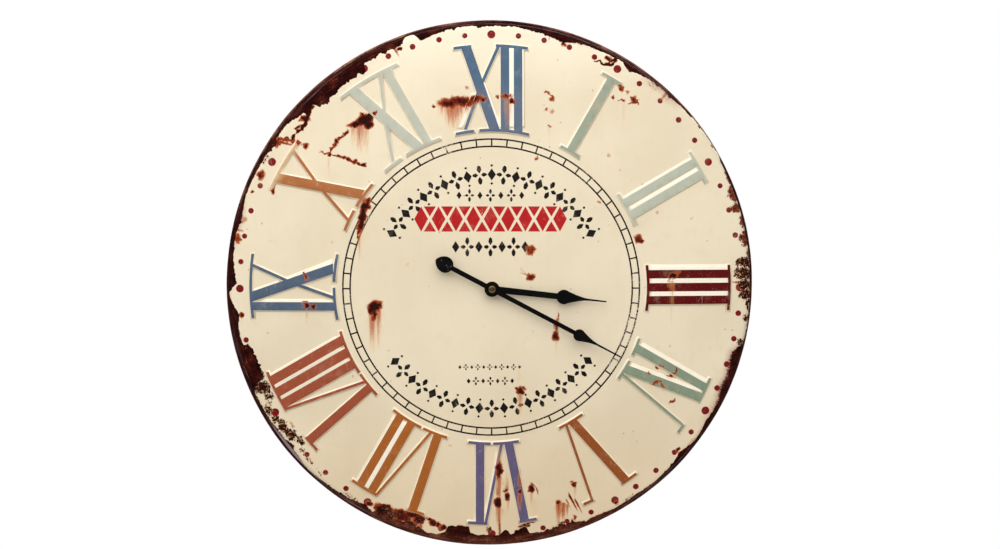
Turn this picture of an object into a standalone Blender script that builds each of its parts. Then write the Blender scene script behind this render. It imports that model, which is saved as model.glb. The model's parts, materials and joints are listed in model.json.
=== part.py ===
"""Round pressed-steel wall clock with a quartz movement.

Dial faces -Y, X is to the right of a person looking at the dial, Z is up.
Dimensions are in millimetres and are turned into metres when a mesh is made.
Depth along Y is measured from the plane of the dial's edge, negative towards the viewer.
"""
import math

import bpy
import bmesh
from mathutils import Vector
from mathutils.geometry import delaunay_2d_cdt

for old in list(bpy.data.objects):
    bpy.data.objects.remove(old, do_unlink=True)

# ------------------------------------------------------------------ driving dimensions, mm
MM = 0.001
RIM_R = 200.0            # widest radius, over the rolled edge
DIAL_R = 192.0           # where the dome ends and the shoulder starts
DOME_H = 10.0            # rise of the dome at the centre
SHEET = 0.8              # sheet thickness
SHOULDER = 5.0           # shoulder radius
SKIRT_LEAN = 82.0        # skirt direction, degrees from the dial plane
BEAD_R = 2.6             # rolled edge radius
BACK = 15.0              # rear plane of the rolled edge
LIP_R = 189.0            # inner radius of the flat lip
CENTRE_HOLE = 3.9

NUT_TOP = 18.8           # front end of the hand nut, in front of the dial edge plane
SHIFT = (NUT_TOP - BACK) / 2.0   # puts the origin half way between front and back

CASE = 28.0              # half side of the movement case
CASE_Y = -7.5            # front face of the case
CASE_D = 16.2            # case depth


# ------------------------------------------------------------------ materials
def material(name, colour, roughness, metallic=0.0):
    mat = bpy.data.materials.new(name)
    mat.use_nodes = True
    shader = mat.node_tree.nodes["Principled BSDF"]
    shader.inputs["Base Color"].default_value = (*colour, 1.0)
    shader.inputs["Roughness"].default_value = roughness
    shader.inputs["Metallic"].default_value = metallic
    mat.diffuse_color = (*colour, 1.0)
    return mat


def metal(name, colour, roughness):
    return material(name, colour, roughness, metallic=1.0)


ENAMEL = material("cream_enamel", colour=(0.80, 0.70, 0.50), roughness=0.45)
HAND_BLACK = material("hand_black", colour=(0.012, 0.012, 0.013), roughness=0.45)
BRASS = metal("brass", colour=(0.72, 0.52, 0.22), roughness=0.3)
ZINC = metal("zinc_steel", colour=(0.55, 0.55, 0.53), roughness=0.35)
RUBBER = material("black_rubber", colour=(0.02, 0.02, 0.02), roughness=0.85)
CASE_BLACK = material("case_black", colour=(0.025, 0.025, 0.027), roughness=0.5)
LID_BLACK = material("lid_black", colour=(0.03, 0.03, 0.032), roughness=0.4)
KNOB_GREY = material("knob_grey", colour=(0.25, 0.25, 0.25), roughness=0.5)
BATTERY_GREEN = material("battery_wrap", colour=(0.05, 0.22, 0.16), roughness=0.3)
SPRING = metal("nickel_contact", colour=(0.68, 0.66, 0.6), roughness=0.28)
BOARD = material("board_green", colour=(0.03, 0.16, 0.06), roughness=0.5)
CRYSTAL_CAN = metal("crystal_can", colour=(0.7, 0.7, 0.7), roughness=0.2)
EPOXY = material("epoxy_black", colour=(0.01, 0.01, 0.01), roughness=0.3)
COPPER = metal("coil_copper", colour=(0.6, 0.22, 0.1), roughness=0.35)
CORE_STEEL = metal("core_steel", colour=(0.45, 0.44, 0.42), roughness=0.4)
GEAR_WHITE = material("gear_white", colour=(0.8, 0.79, 0.74), roughness=0.5)
GEAR_BRASS = metal("gear_brass", colour=(0.7, 0.5, 0.2), roughness=0.35)
MAGNET = material("magnet_dark", colour=(0.08, 0.08, 0.085), roughness=0.45)
BRIDGE_GREY = material("bridge_plastic", colour=(0.35, 0.35, 0.34), roughness=0.55)


# ------------------------------------------------------------------ flat loops
def radial_loop(radii, at=(0.0, 0.0), phase=0.0):
    """One point per radius, at equal angles about a centre."""
    count = len(radii)
    loop = []
    for i, radius in enumerate(radii):
        angle = phase + 2 * math.pi * i / count
        loop.append((at[0] + radius * math.cos(angle), at[1] + radius * math.sin(angle)))
    return loop


def circle(radius, count=24, at=(0.0, 0.0), phase=0.0):
    return radial_loop([radius] * count, at, phase)


def arc(radius, start, sweep, steps, at):
    """Points along an arc, angles in degrees."""
    angles = [math.radians(start + sweep * i / steps) for i in range(steps + 1)]
    return [(at[0] + radius * math.cos(a), at[1] + radius * math.sin(a)) for a in angles]


def box(x0, x1, z0, z1, corner=0.0, steps=3):
    """A rectangle loop, with rounded corners if a corner radius is given."""
    if corner <= 0:
        return [(x0, z0), (x1, z0), (x1, z1), (x0, z1)]
    left, right, low, high = x0 + corner, x1 - corner, z0 + corner, z1 - corner
    loop = []
    for at, start in (((right, low), -90), ((right, high), 0),
                      ((left, high), 90), ((left, low), 180)):
        loop += arc(corner, start, 90.0, steps, at)
    return loop


def mirrored(profile):
    """A closed loop from (station, half width) pairs along Z, symmetric about X = 0."""
    right = [(width, station) for station, width in profile]
    left = [(-width, station) for station, width in reversed(profile) if width > 1e-6]
    return right + left


def polar(radius, angle, centre=(0.0, 0.0)):
    return centre[0] + radius * math.cos(angle), centre[1] + radius * math.sin(angle)


def centroid(points, triangle):
    """Mean of a triangle's corners, the triangle given as indices into points."""
    return tuple(sum(points[i][axis] for i in triangle) / len(triangle) for axis in (0, 1))


def inside(point, loops):
    """Even-odd test of a point against closed loops."""
    x, y = point
    odd = False
    for loop in loops:
        x0, y0 = loop[-1]
        for x1, y1 in loop:
            if (y1 > y) != (y0 > y) and x < (x0 - x1) * (y - y1) / (y0 - y1) + x1:
                odd = not odd
            x0, y0 = x1, y1
    return odd


def triangulate(loops, extra=()):
    """Constrained triangles over every loop and extra point. Returns points and triangles."""
    points, index, edges = [], {}, []

    def point_id(point):
        if point not in index:
            index[point] = len(points)
            points.append(point)
        return index[point]

    for loop in loops:
        ids = [point_id(point) for point in loop]
        edges += [(ids[i], ids[(i + 1) % len(ids)]) for i in range(len(ids))]
    for point in extra:
        point_id(point)
    out, _, faces, sources, _, _ = delaunay_2d_cdt(
        [Vector(point) for point in points], edges, [], 0, 1e-5, True
    )
    # Keep the given coordinates exactly; only crossings of edges are new points.
    exact = [points[s[0]] if s else (v.x, v.y) for v, s in zip(out, sources)]
    return exact, [tuple(face) for face in faces]


# ------------------------------------------------------------------ solids
def make(name, verts, faces, mat, at=(0.0, 0.0), turn=0.0, smooth=32.0):
    """A closed mesh from (X, depth, Z), placed at (X, Z) and turned clockwise in degrees."""
    mesh = bpy.data.meshes.new(name)
    mesh.from_pydata([(x * MM, y * MM, z * MM) for x, y, z in verts], [], faces)
    bm = bmesh.new()
    bm.from_mesh(mesh)
    bmesh.ops.triangulate(bm, faces=[f for f in bm.faces if len(f.verts) > 4])
    bmesh.ops.recalc_face_normals(bm, faces=bm.faces)
    bm.to_mesh(mesh)
    bm.free()
    mesh.materials.append(mat)
    mesh.shade_smooth()
    mesh.set_sharp_from_angle(angle=math.radians(smooth))
    ob = bpy.data.objects.new(name, mesh)
    bpy.context.scene.collection.objects.link(ob)
    ob.location = (at[0] * MM, SHIFT * MM, at[1] * MM)
    ob.rotation_euler = (0.0, math.radians(turn), 0.0)
    return ob


# How a loop point (a, b) at height h along the stack becomes (X, depth, Z).
VIEWS = {
    "front": lambda a, b, h: (a, h, b),     # loops hold (x, z), layers run along depth
    "end": lambda a, b, h: (h, a, b),       # loops hold (depth, z), layers run along x
    "top": lambda a, b, h: (a, b, h),       # loops hold (x, depth), layers run along z
}


def stack(name, mat, start, layers, at=(0.0, 0.0), turn=0.0, view="front"):
    """One closed body from touching layers (end, loop, loop...); loops nest even-odd."""
    verts, index, faces = [], {}, []

    def vert(point, height):
        key = (*point, height)
        if key not in index:
            index[key] = len(verts)
            verts.append(VIEWS[view](*key))
        return index[key]

    # side walls
    below = start
    for end, *loops in layers:
        for loop in loops:
            for i in range(len(loop)):
                a, b = loop[i - 1], loop[i]
                faces.append((vert(a, below), vert(b, below), vert(b, end), vert(a, end)))
        below = end
    # flat faces wherever the section changes from one layer to the next
    heights = [start] + [layer[0] for layer in layers]
    sections = [[]] + [list(layer[1:]) for layer in layers] + [[]]
    for height, under, over in zip(heights, sections, sections[1:]):
        loops = []
        for loop in under + over:
            if loop not in loops:
                loops.append(loop)
        points, triangles = triangulate(loops)
        for triangle in triangles:
            middle = centroid(points, triangle)
            if inside(middle, under) != inside(middle, over):
                faces.append(tuple(vert(points[i], height) for i in triangle))
    return make(name, verts, faces, mat, at, turn)


def in_case(depth):
    """Depth inside the movement case, from its front face."""
    return CASE_Y + depth


def case_stack(name, mat, start, layers, at=(0.0, 0.0)):
    """A stack along depth whose start and ends are measured from the case front."""
    placed = [(in_case(end), *loops) for end, *loops in layers]
    return stack(name, mat, in_case(start), placed, at)


# ------------------------------------------------------------------ numerals
NUM_IN, NUM_OUT = 115.9, 180.2   # inner and outer arcs of the numerals
SERIF = 2.1              # serif band width
SERIF_PIECE = 11.0       # span length per piece of a serif
STROKE_INSET = 1.1       # how far the strokes stop inside the two arcs
EMBOSS = 0.7             # height of the pressed numerals
EMBOSS_EDGE = 0.55       # width of their sloping sides
STEM = 6.3               # thick stroke of an I
HAIR = 2.1               # thin stroke

# X: thick stroke, then the outer and inner halves of the thin one; offsets are across the
# numeral from the X's left edge, heights are from the dial centre.
X_SLANT, X_WIDE, X_HAIR = 21.0, 7.6, HAIR + 0.3
X_TOP, X_FOOT = 178.3, 117.4
X_OUTER_START, X_OUTER_END, X_OUTER_FOOT = 26.4, 14.6, 152.0
X_INNER_START, X_INNER_END, X_INNER_TOP = 11.8, 2.1, 145.0

# V: shift of the thick stroke, then the thin stroke's middle at its outer and inner ends.
V_WIDE, V_FOOT_WIDE = 7.0, 7.0 - 0.4
V_FULL = (12.7, 33.1, 21.2)
V_NARROW = (12.7 * 0.76, 33.1 * 0.86, 21.2 * 0.82)

# For each hour: left edges at the outer arc of the X and V thick strokes, left edges of the
# I strokes, then the spans of the outer and inner serifs, in mm across the numeral's own axis.
NUMERALS = {
    12: dict(x=-22.7, i=(6.7, 16.4),
             top=((-28.1, -15.0), (3.2, 27.0)), low=((-26.7, -13.1), (-9.1, 27.8))),
    1: dict(i=(-3.4,), top=((-8.6, 8.2),), low=((-8.6, 7.9),)),
    2: dict(i=(-8.5, 1.5), top=((-13.9, 12.2),), low=((-13.6, 12.8),)),
    3: dict(i=(-13.5, -3.7, 6.0), top=((-17.2, 17.2),), low=((-17.3, 17.3),)),
    4: dict(i=(-18.3,), v=-10.5, v_shape=V_NARROW,
            top=((-23.3, -3.3), (17.7, 24.7)), low=((-22.8, -9.2), (-4.4, 11.7))),
    5: dict(v=-18.4, top=((-24.6, -11.2), (13.8, 21.9)), low=((-11.6, 8.8),)),
    6: dict(v=-28.7, i=(5.6,),
            top=((-34.5, -21.4), (3.2, 17.9)), low=((-20.6, -1.1), (0.8, 17.6))),
    7: dict(v=-36.0, i=(-1.5, 8.2),
            top=((-41.8, -28.9), (-3.2, 18.6)), low=((-27.3, -8.1), (-6.4, 18.4))),
    8: dict(v=-34.4, i=(-0.6, 9.0, 18.7),
            top=((-40.4, -27.4), (-2.6, 29.8)), low=((-26.3, -6.3), (-5.2, 29.0))),
    9: dict(i=(-16.4,), x=-9.9, top=((-22.3, 25.9),), low=((-23.4, 0.8), (5.1, 25.7))),
    10: dict(x=-12.3, top=((-18.3, 22.8),), low=((-17.2, -0.8), (2.6, 23.1))),
    11: dict(x=-19.3, i=(9.9,), top=((-26.2, 22.7),), low=((-25.1, -10.1), (-5.1, 22.7))),
}


def stroke(top_x, top_wide, top_z, foot_x, foot_wide, foot_z):
    """A stroke from its left edge and width at the outer end to those at the inner end."""
    return [(foot_x, foot_z), (foot_x + foot_wide, foot_z), (top_x + top_wide, top_z),
            (top_x, top_z)]


def outer_end(x):
    """Height at which a stroke centred on x stops, just inside the outer arc."""
    reach = NUM_OUT - STROKE_INSET
    return math.sqrt(reach * reach - x ** 2)


def inner_end(x):
    reach = NUM_IN + STROKE_INSET
    return math.sqrt(reach * reach - x ** 2)


def i_stroke(x):
    middle = x + STEM / 2
    return stroke(x, STEM, outer_end(middle), x, STEM, inner_end(middle))


def x_strokes(x):
    return [
        stroke(x, X_WIDE, X_TOP, x + X_SLANT, X_WIDE, X_FOOT),
        stroke(x + X_OUTER_START, X_HAIR, X_TOP, x + X_OUTER_END, X_HAIR, X_OUTER_FOOT),
        stroke(x + X_INNER_START, X_HAIR, X_INNER_TOP, x + X_INNER_END, X_HAIR, X_FOOT),
    ]


def v_strokes(x, shape):
    slant, opening, foot = shape
    foot_z = inner_end(x + 16.0)
    return [
        stroke(x, V_WIDE, outer_end(x + 3.0), x + slant, V_FOOT_WIDE, foot_z),
        stroke(x + opening - HAIR / 2, HAIR, outer_end(x + opening),
               x + foot - HAIR / 2, HAIR, foot_z),
    ]


def serif(start, end, inner, outer):
    """Pieces of a serif band; each is one whole span long and they follow on clockwise."""
    pieces = []
    for k in range(max(2, round((end - start) / SERIF_PIECE))):
        t0, t1 = (math.asin((start + (end - start) * (k + e)) / outer) for e in (0.0, 1.0))
        corners = ((inner, t0), (inner, t1), (outer, t1), (outer, t0))
        pieces.append([(r * math.sin(t), r * math.cos(t)) for r, t in corners])
    return pieces


def numeral_pieces(spec):
    """Convex pieces of one numeral, (across, along) with along measured from the dial centre."""
    pieces = [i_stroke(x) for x in spec.get("i", ())]
    if "x" in spec:
        pieces += x_strokes(spec["x"])
    if "v" in spec:
        pieces += v_strokes(spec["v"], spec.get("v_shape", V_FULL))
    for start, end in spec["top"]:
        pieces += serif(start, end, NUM_OUT - SERIF, NUM_OUT)
    for start, end in spec["low"]:
        pieces += serif(start, end, NUM_IN, NUM_IN + SERIF)
    return pieces


def grow(polygon, distance):
    """A convex anticlockwise polygon moved outwards with mitred corners."""
    out = []
    for i in range(len(polygon)):
        before, corner = Vector(polygon[i - 1]), Vector(polygon[i])
        after = Vector(polygon[(i + 1) % len(polygon)])
        edge_in, edge_out = (corner - before).normalized(), (after - corner).normalized()
        normal_in = Vector((edge_in.y, -edge_in.x))
        normal_out = Vector((edge_out.y, -edge_out.x))
        mitre = normal_in + normal_out
        scale = distance / max(0.45, 1.0 + normal_in.dot(normal_out))
        moved = corner + mitre * scale
        out.append((moved.x, moved.y))
    return out


def tidy(loop, flat=0.03, short=0.14):
    """Drops points that hardly leave a straight line or lie too close to the one before."""
    loop = list(loop)
    changed = True
    while changed and len(loop) > 3:
        changed = False
        for i in range(len(loop)):
            a, b, c = loop[i - 1], loop[i], loop[(i + 1) % len(loop)]
            ex, ey = c[0] - a[0], c[1] - a[1]
            length = math.hypot(ex, ey)
            off = 0.0
            if length > 1e-9:
                off = abs(ex * (b[1] - a[1]) - ey * (b[0] - a[0])) / length
            if off < flat or math.hypot(b[0] - a[0], b[1] - a[1]) < short:
                del loop[i]
                changed = True
                break
    return loop


def union_loops(pieces):
    """Outline loops of the union of convex pieces."""
    points, triangles = triangulate(pieces)
    # An edge shared by two covered triangles cancels; what is left is the outline.
    border = {}
    for triangle in triangles:
        middle = centroid(points, triangle)
        if not any(inside(middle, [piece]) for piece in pieces):
            continue
        for i in range(3):
            a, b = triangle[i], triangle[(i + 1) % 3]
            if (b, a) in border:
                del border[(b, a)]
            else:
                border[(a, b)] = True
    following = {}
    for a, b in border:
        following.setdefault(a, []).append(b)
    loops = []
    while following:
        start = min(following)
        loop, here = [], start
        while True:
            loop.append(points[here])
            step = following[here].pop()
            if not following[here]:
                del following[here]
            here = step
            if here == start:
                break
        loops.append(tidy(loop))
    return [loop for loop in loops if len(loop) > 2]


def numeral_loops():
    """Outlines of all numerals on the dial: of their raised tops, and of their bases."""
    tops, bases = [], []
    for hour, spec in NUMERALS.items():
        turn = math.radians(30.0 * hour)
        s, c = math.sin(turn), math.cos(turn)
        pieces = numeral_pieces(spec)
        grown = [grow(piece, EMBOSS_EDGE) for piece in pieces]
        for loops, shapes in ((tops, pieces), (bases, grown)):
            for loop in union_loops(shapes):
                loops.append([(x * c + z * s, z * c - x * s) for x, z in loop])
    return tops, bases


# ------------------------------------------------------------------ dial pan
RIM_STEPS = 90
HOLE_STEPS = 24
SHOULDER_STEPS, SHOULDER_STEPS_IN = 5, 3
BEAD_STEPS = 6
RING_PHASE = 0.03
# (radius, points) of the rings that carry the dome's curve
DOME_RINGS = ((185.8, 48), (106.0, 40), (78.0, 30), (48.0, 24), (20.0, 16))
REAR_RING = (146.0, 44)      # extra ring on the rear, which has no numerals


def dome(radius):
    return -DOME_H * (1.0 - (radius / DIAL_R) ** 2)


def rim_section():
    """(radius, depth) from the dial edge over skirt, bead and lip, then back up the inside."""
    lean, start = math.radians(SKIRT_LEAN), math.atan(2 * DOME_H / DIAL_R)
    centre_r, centre_y = DIAL_R - SHOULDER * math.sin(start), SHOULDER * math.cos(start)

    def on_shoulder(radius, fraction):
        angle = start + (lean - start) * fraction
        return centre_r + radius * math.sin(angle), centre_y - radius * math.cos(angle)

    section = [on_shoulder(SHOULDER, k / SHOULDER_STEPS) for k in range(1, SHOULDER_STEPS + 1)]
    section += arc(BEAD_R, -90.0, 180.0, BEAD_STEPS, (RIM_R - BEAD_R, BACK - BEAD_R))
    section.append((LIP_R, BACK))

    lip_front = BACK - SHEET
    inner = SHOULDER - SHEET
    skirt_r, skirt_y = on_shoulder(inner, 1.0)
    section.append((LIP_R, lip_front))
    section.append((skirt_r + (lip_front - skirt_y) / math.tan(lean), lip_front))
    section += [on_shoulder(inner, k / SHOULDER_STEPS_IN) for k in range(SHOULDER_STEPS_IN, 0, -1)]
    return section


def build_dial():
    """The pressed steel pan: domed dial with raised numerals, shoulder, skirt and rolled edge."""
    top_loops, base_loops = numeral_loops()
    raised = {point for loop in top_loops for point in loop}
    outer = circle(DIAL_R, RIM_STEPS)
    hole = circle(CENTRE_HOLE, HOLE_STEPS)
    rings = [p for r, n in DOME_RINGS for p in circle(r, n, phase=RING_PHASE)]
    verts, faces = [], []

    def add_skin(loops, extra, lifted, offset):
        """Adds one domed surface and returns its vertex numbers by flat point."""
        points, triangles = triangulate(loops, extra)
        base = len(verts)
        for point in points:
            lift = EMBOSS if point in lifted else 0.0
            verts.append((point[0], dome(math.hypot(*point)) - lift + offset, point[1]))
        for triangle in triangles:
            if math.hypot(*centroid(points, triangle)) > hole_flat:
                faces.append(tuple(base + i for i in triangle))
        return {point: base + i for i, point in enumerate(points)}

    hole_flat = CENTRE_HOLE * math.cos(math.pi / HOLE_STEPS)
    front = add_skin([outer, hole] + top_loops + base_loops, rings, raised, 0.0)
    rear_rings = rings + circle(*REAR_RING, phase=RING_PHASE)
    rear = add_skin([outer, hole], rear_rings, (), SHEET)
    for i in range(HOLE_STEPS):
        a, b = hole[i - 1], hole[i]
        faces.append((front[a], front[b], rear[b], rear[a]))

    rim = [[front[point] for point in outer]]
    for radius, depth in rim_section():
        rim.append([len(verts) + i for i in range(RIM_STEPS)])
        verts.extend((x * radius / DIAL_R, depth, z * radius / DIAL_R) for x, z in outer)
    rim.append([rear[point] for point in outer])
    for this, following in zip(rim, rim[1:]):
        for i in range(RIM_STEPS):
            faces.append((this[i - 1], this[i], following[i], following[i - 1]))
    make("dial_pan", verts, faces, ENAMEL, smooth=25.0)


# ------------------------------------------------------------------ hands and slotted nuts
MINUTE_ANGLE, HOUR_ANGLE = 117.9, 96.4     # degrees clockwise from twelve
HAND_T = 0.5
HUB_R = 5.45
# Stations along the hand: tip, centre of the round disc, start of the needle point.
# bar_in and bar_out are the bar's half widths at the hub and at the disc.
MINUTE_SHAPE = dict(tip=108.2, disc=73.1, disc_r=4.35, needle=87.2,
                    bar_in=1.6, bar_out=1.6, tail=True)
HOUR_SHAPE = dict(tip=85.5, disc=53.5, disc_r=5.15, needle=71.0,
                  bar_in=2.05, bar_out=1.85, tail=False)
DISC_END = math.radians(122.0)             # where the disc gives way to the needle
NEEDLE_HALF = 0.52                         # half width where the taper ends
TAIL_AT, TAIL_R, TAIL_POINT = -38.9, 5.65, 8.0     # tail disc, and its point's length
TAIL_BAR = 1.65                            # half width of the bar to the tail

MINUTE_BORE = circle(1.78, 20)
HOUR_BORE = circle(2.78, 24)
NUT_STEPS = 32
NUT_SLOT_DEPTH = 0.7


def tail_profile():
    """Pointed disc behind the hub and the start of the bar that joins them."""
    profile = []
    for k in range(6):
        u = 1.0 - k / 6.0
        profile.append((TAIL_AT - TAIL_POINT * u, TAIL_R * (1.0 - u * u) ** 0.75))
    for k in range(5):
        angle = math.radians(72.0 * k / 4.0)
        profile.append((TAIL_AT + TAIL_R * math.sin(angle), TAIL_R * math.cos(angle)))
    profile.append((TAIL_AT + math.sqrt(TAIL_R ** 2 - TAIL_BAR ** 2), TAIL_BAR))
    return profile


def bulge(centre, radius, start, end, steps):
    """(station, half width) around a disc, angles from its tail side."""
    angles = [start + (end - start) * k / steps for k in range(steps + 1)]
    return [(centre - radius * math.cos(a), radius * math.sin(a)) for a in angles]


def hand_outline(tip, disc, disc_r, needle, bar_in, bar_out, tail):
    profile = tail_profile() if tail else []
    join = math.asin(TAIL_BAR / HUB_R) if tail else 0.0
    profile += bulge(0.0, HUB_R, join, math.pi - math.asin(bar_in / HUB_R), 9)
    profile += bulge(disc, disc_r, math.asin(bar_out / disc_r), DISC_END, 6)
    station, half = profile[-1]
    for k in range(1, 6):
        t = k / 5.0
        width = NEEDLE_HALF + (half - NEEDLE_HALF) * (1.0 - t) ** 1.9
        profile.append((station + (needle - station) * t, width))
    profile += [(tip - 0.4, 0.42), (tip, 0.15)]
    return mirrored(profile)


def build_hand(name, shape, angle, front, rear, collar, bore):
    """A flat hand with a collar behind it."""
    stack(name, HAND_BLACK, front, [
        (front + HAND_T, hand_outline(**shape), bore),
        (rear, collar, bore),
    ], turn=angle)


def slotted_nut(name, front, rear, radius, slot_radius, bore, turn=0.0):
    """A round nut with two spanner slots across its front face."""
    slotted = radial_loop([slot_radius if k % 16 in (0, 1, 15) else radius
                           for k in range(NUT_STEPS)])
    stack(name, BRASS, front, [
        (front + NUT_SLOT_DEPTH, slotted, bore),
        (rear, circle(radius, NUT_STEPS), bore),
    ], turn=turn)


def build_hands():
    build_hand("minute_hand", MINUTE_SHAPE, MINUTE_ANGLE, front=-16.9, rear=-15.7,
               collar=circle(3.6, 20), bore=MINUTE_BORE)
    build_hand("hour_hand", HOUR_SHAPE, HOUR_ANGLE, front=-14.7, rear=-13.4,
               collar=circle(4.4, 24), bore=HOUR_BORE)
    slotted_nut("hand_nut", front=-NUT_TOP, rear=-17.0, radius=2.7, slot_radius=2.25,
                bore=MINUTE_BORE, turn=MINUTE_ANGLE)


# ------------------------------------------------------------------ gear geometry
ADDENDUM, DEDENDUM = 0.82, 1.18      # tooth above and below the pitch circle, in modules
ROOT_HALF, TIP_HALF = 0.30, 0.105    # half widths of a tooth, as a share of the tooth pitch


def gear(teeth, module, phase=0.0):
    """Anticlockwise outline of a gear about its own centre, phase is a tooth's angle."""
    pitch = 2 * math.pi / teeth
    root, tip = (teeth / 2 - DEDENDUM) * module, (teeth / 2 + ADDENDUM) * module
    corners = ((root, -ROOT_HALF), (tip, -TIP_HALF), (tip, TIP_HALF), (root, ROOT_HALF))
    return [polar(r, phase + i * pitch + f * pitch) for i in range(teeth) for r, f in corners]


def mate(teeth_a, phase_a, direction, teeth_b):
    """Phase of gear b when it meshes with gear a, seen from a in the given direction."""
    pitch_a, pitch_b = 2 * math.pi / teeth_a, 2 * math.pi / teeth_b
    return direction + math.pi - pitch_b * (0.5 - (direction - phase_a) / pitch_a)


def distance(module, teeth_a, teeth_b):
    """Centre distance of two meshing gears."""
    return module * (teeth_a + teeth_b) / 2


# tooth counts of the wheels and of the pinions on their arbors
CENTRE_TEETH, THIRD_TEETH, SECONDS_TEETH = 64, 60, 60
INTER_TEETH, MOTION_TEETH, HOUR_TEETH = 40, 30, 32
THIRD_PINION, SECONDS_PINION, INTER_PINION, ROTOR_PINION = 8, 8, 10, 8
MINUTE_PINION, MOTION_PINION, SET_PINION = 10, 8, 10

# directions between neighbouring arbors, anticlockwise from X
THIRD_DIR, INTER_DIR, ROTOR_DIR, MOTION_DIR = map(math.radians, (30.0, 150.0, 120.0, 200.0))

MOD_MOTION, MOD_CENTRE, MOD_INTER, MOD_ROTOR = 0.40, 0.32, 0.30, 0.28
THIRD_DIST = distance(MOD_CENTRE, CENTRE_TEETH, THIRD_PINION)
# The third wheel drives the seconds pinion back on the centre axis.
MOD_THIRD = THIRD_DIST * 2 / (THIRD_TEETH + SECONDS_PINION)

THIRD_AT = polar(THIRD_DIST, THIRD_DIR)
INTER_AT = polar(distance(MOD_INTER, SECONDS_TEETH, INTER_PINION), INTER_DIR)
ROTOR_AT = polar(distance(MOD_ROTOR, INTER_TEETH, ROTOR_PINION), ROTOR_DIR, INTER_AT)
MOTION_AT = polar(distance(MOD_MOTION, MINUTE_PINION, MOTION_TEETH), MOTION_DIR)
SET_AT = polar(distance(MOD_MOTION, MOTION_TEETH, SET_PINION), MOTION_DIR, MOTION_AT)

# Gears without a phase here have a tooth at angle zero.
MOTION_PHASE = mate(MINUTE_PINION, 0.0, MOTION_DIR, MOTION_TEETH)
HOUR_PHASE = mate(MOTION_PINION, 0.0, MOTION_DIR + math.pi, HOUR_TEETH)
SET_PHASE = mate(MOTION_TEETH, MOTION_PHASE, MOTION_DIR, SET_PINION)
THIRD_PINION_PHASE = mate(CENTRE_TEETH, 0.0, THIRD_DIR, THIRD_PINION)
SECONDS_PINION_PHASE = mate(THIRD_TEETH, 0.0, THIRD_DIR + math.pi, SECONDS_PINION)
INTER_PINION_PHASE = mate(SECONDS_TEETH, 0.0, INTER_DIR, INTER_PINION)
ROTOR_PHASE = mate(INTER_TEETH, 0.0, ROTOR_DIR, ROTOR_PINION)

PIVOT_HOLE = 0.62
PIVOT = circle(0.42, 10)
ARBOR = circle(0.75, 12)
FRONT_START = 0.3                            # case depth where the front pivots start
FRONT_PIVOT = (1.5, PIVOT)
REAR_END = [(13.2, ARBOR), (14.4, PIVOT)]    # rear stretch of arbor and its pivot


# Every wheel below is a table of (end depth in the case, loops), from front to rear.
# ------------------------------------------------------------------ motion work
def build_minute_arbor():
    bore = circle(0.8, 12)
    neck = circle(1.35, 20)
    case_stack("minute_arbor", ZINC, -10.8, [
        (3.0, circle(1.6, 20), bore),
        (3.3, neck, bore),
        (4.5, gear(MINUTE_PINION, MOD_MOTION), bore),
        (6.6, neck, bore),
    ])


def build_motion_wheel():
    case_stack("motion_wheel", GEAR_WHITE, FRONT_START, [
        FRONT_PIVOT,
        (1.9, ARBOR),
        (3.2, gear(MOTION_PINION, MOD_MOTION)),
        (3.4, circle(1.0, 12)),
        (4.3, gear(MOTION_TEETH, MOD_MOTION, MOTION_PHASE)),
        (4.8, circle(1.6, 12)),
    ], MOTION_AT)


def build_hour_wheel():
    bore = circle(1.9, 24)
    case_stack("hour_wheel", GEAR_WHITE, -7.6, [
        (2.05, circle(2.6, 24), bore),
        (2.95, gear(HOUR_TEETH, MOD_MOTION, HOUR_PHASE), bore),
    ])


def build_setting_arbor():
    case_stack("setting_arbor", ZINC, FRONT_START, [
        FRONT_PIVOT,
        (3.2, ARBOR),
        (4.5, gear(SET_PINION, MOD_MOTION, SET_PHASE)),
        (18.6, circle(0.95, 12)),
    ], SET_AT)


def build_setting_knob():
    knurl = radial_loop([4.25, 4.6] * 18)
    socket = circle(1.12, 12)
    case_stack("setting_knob", KNOB_GREY, 16.5, [
        (17.2, circle(2.4, 18), socket),
        (19.0, knurl, socket),
        (19.6, knurl),
    ], SET_AT)


# ------------------------------------------------------------------ going train
def build_centre_wheel():
    bore = circle(1.6, 20)
    case_stack("centre_wheel", GEAR_BRASS, 4.85, [
        (5.0, circle(2.6, 20), bore),
        (5.8, gear(CENTRE_TEETH, MOD_CENTRE), bore),
        (6.3, circle(3.0, 20), bore),
    ])


def build_third_wheel():
    case_stack("third_wheel", GEAR_WHITE, FRONT_START, [
        FRONT_PIVOT,
        (4.8, ARBOR),
        (6.4, gear(THIRD_PINION, MOD_CENTRE, THIRD_PINION_PHASE)),
        (6.8, circle(0.8, 12)),
        (7.6, gear(THIRD_TEETH, MOD_THIRD)),
        (8.0, circle(1.7, 12)),
        *REAR_END,
    ], THIRD_AT)


def build_seconds_wheel():
    case_stack("seconds_wheel", GEAR_WHITE, -8.0, [
        (6.7, circle(0.5, 10)),
        (7.9, gear(SECONDS_PINION, MOD_THIRD, SECONDS_PINION_PHASE)),
        (8.4, circle(0.85, 12)),
        (9.2, gear(SECONDS_TEETH, MOD_INTER)),
        (9.7, circle(1.7, 12)),
        *REAR_END,
    ])


def build_intermediate_wheel():
    case_stack("intermediate_wheel", GEAR_WHITE, 6.9, [
        (8.1, ARBOR),
        (9.5, gear(INTER_PINION, MOD_INTER, INTER_PINION_PHASE)),
        (9.8, circle(1.0, 12)),
        (10.5, gear(INTER_TEETH, MOD_ROTOR)),
        *REAR_END,
    ], INTER_AT)


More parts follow.
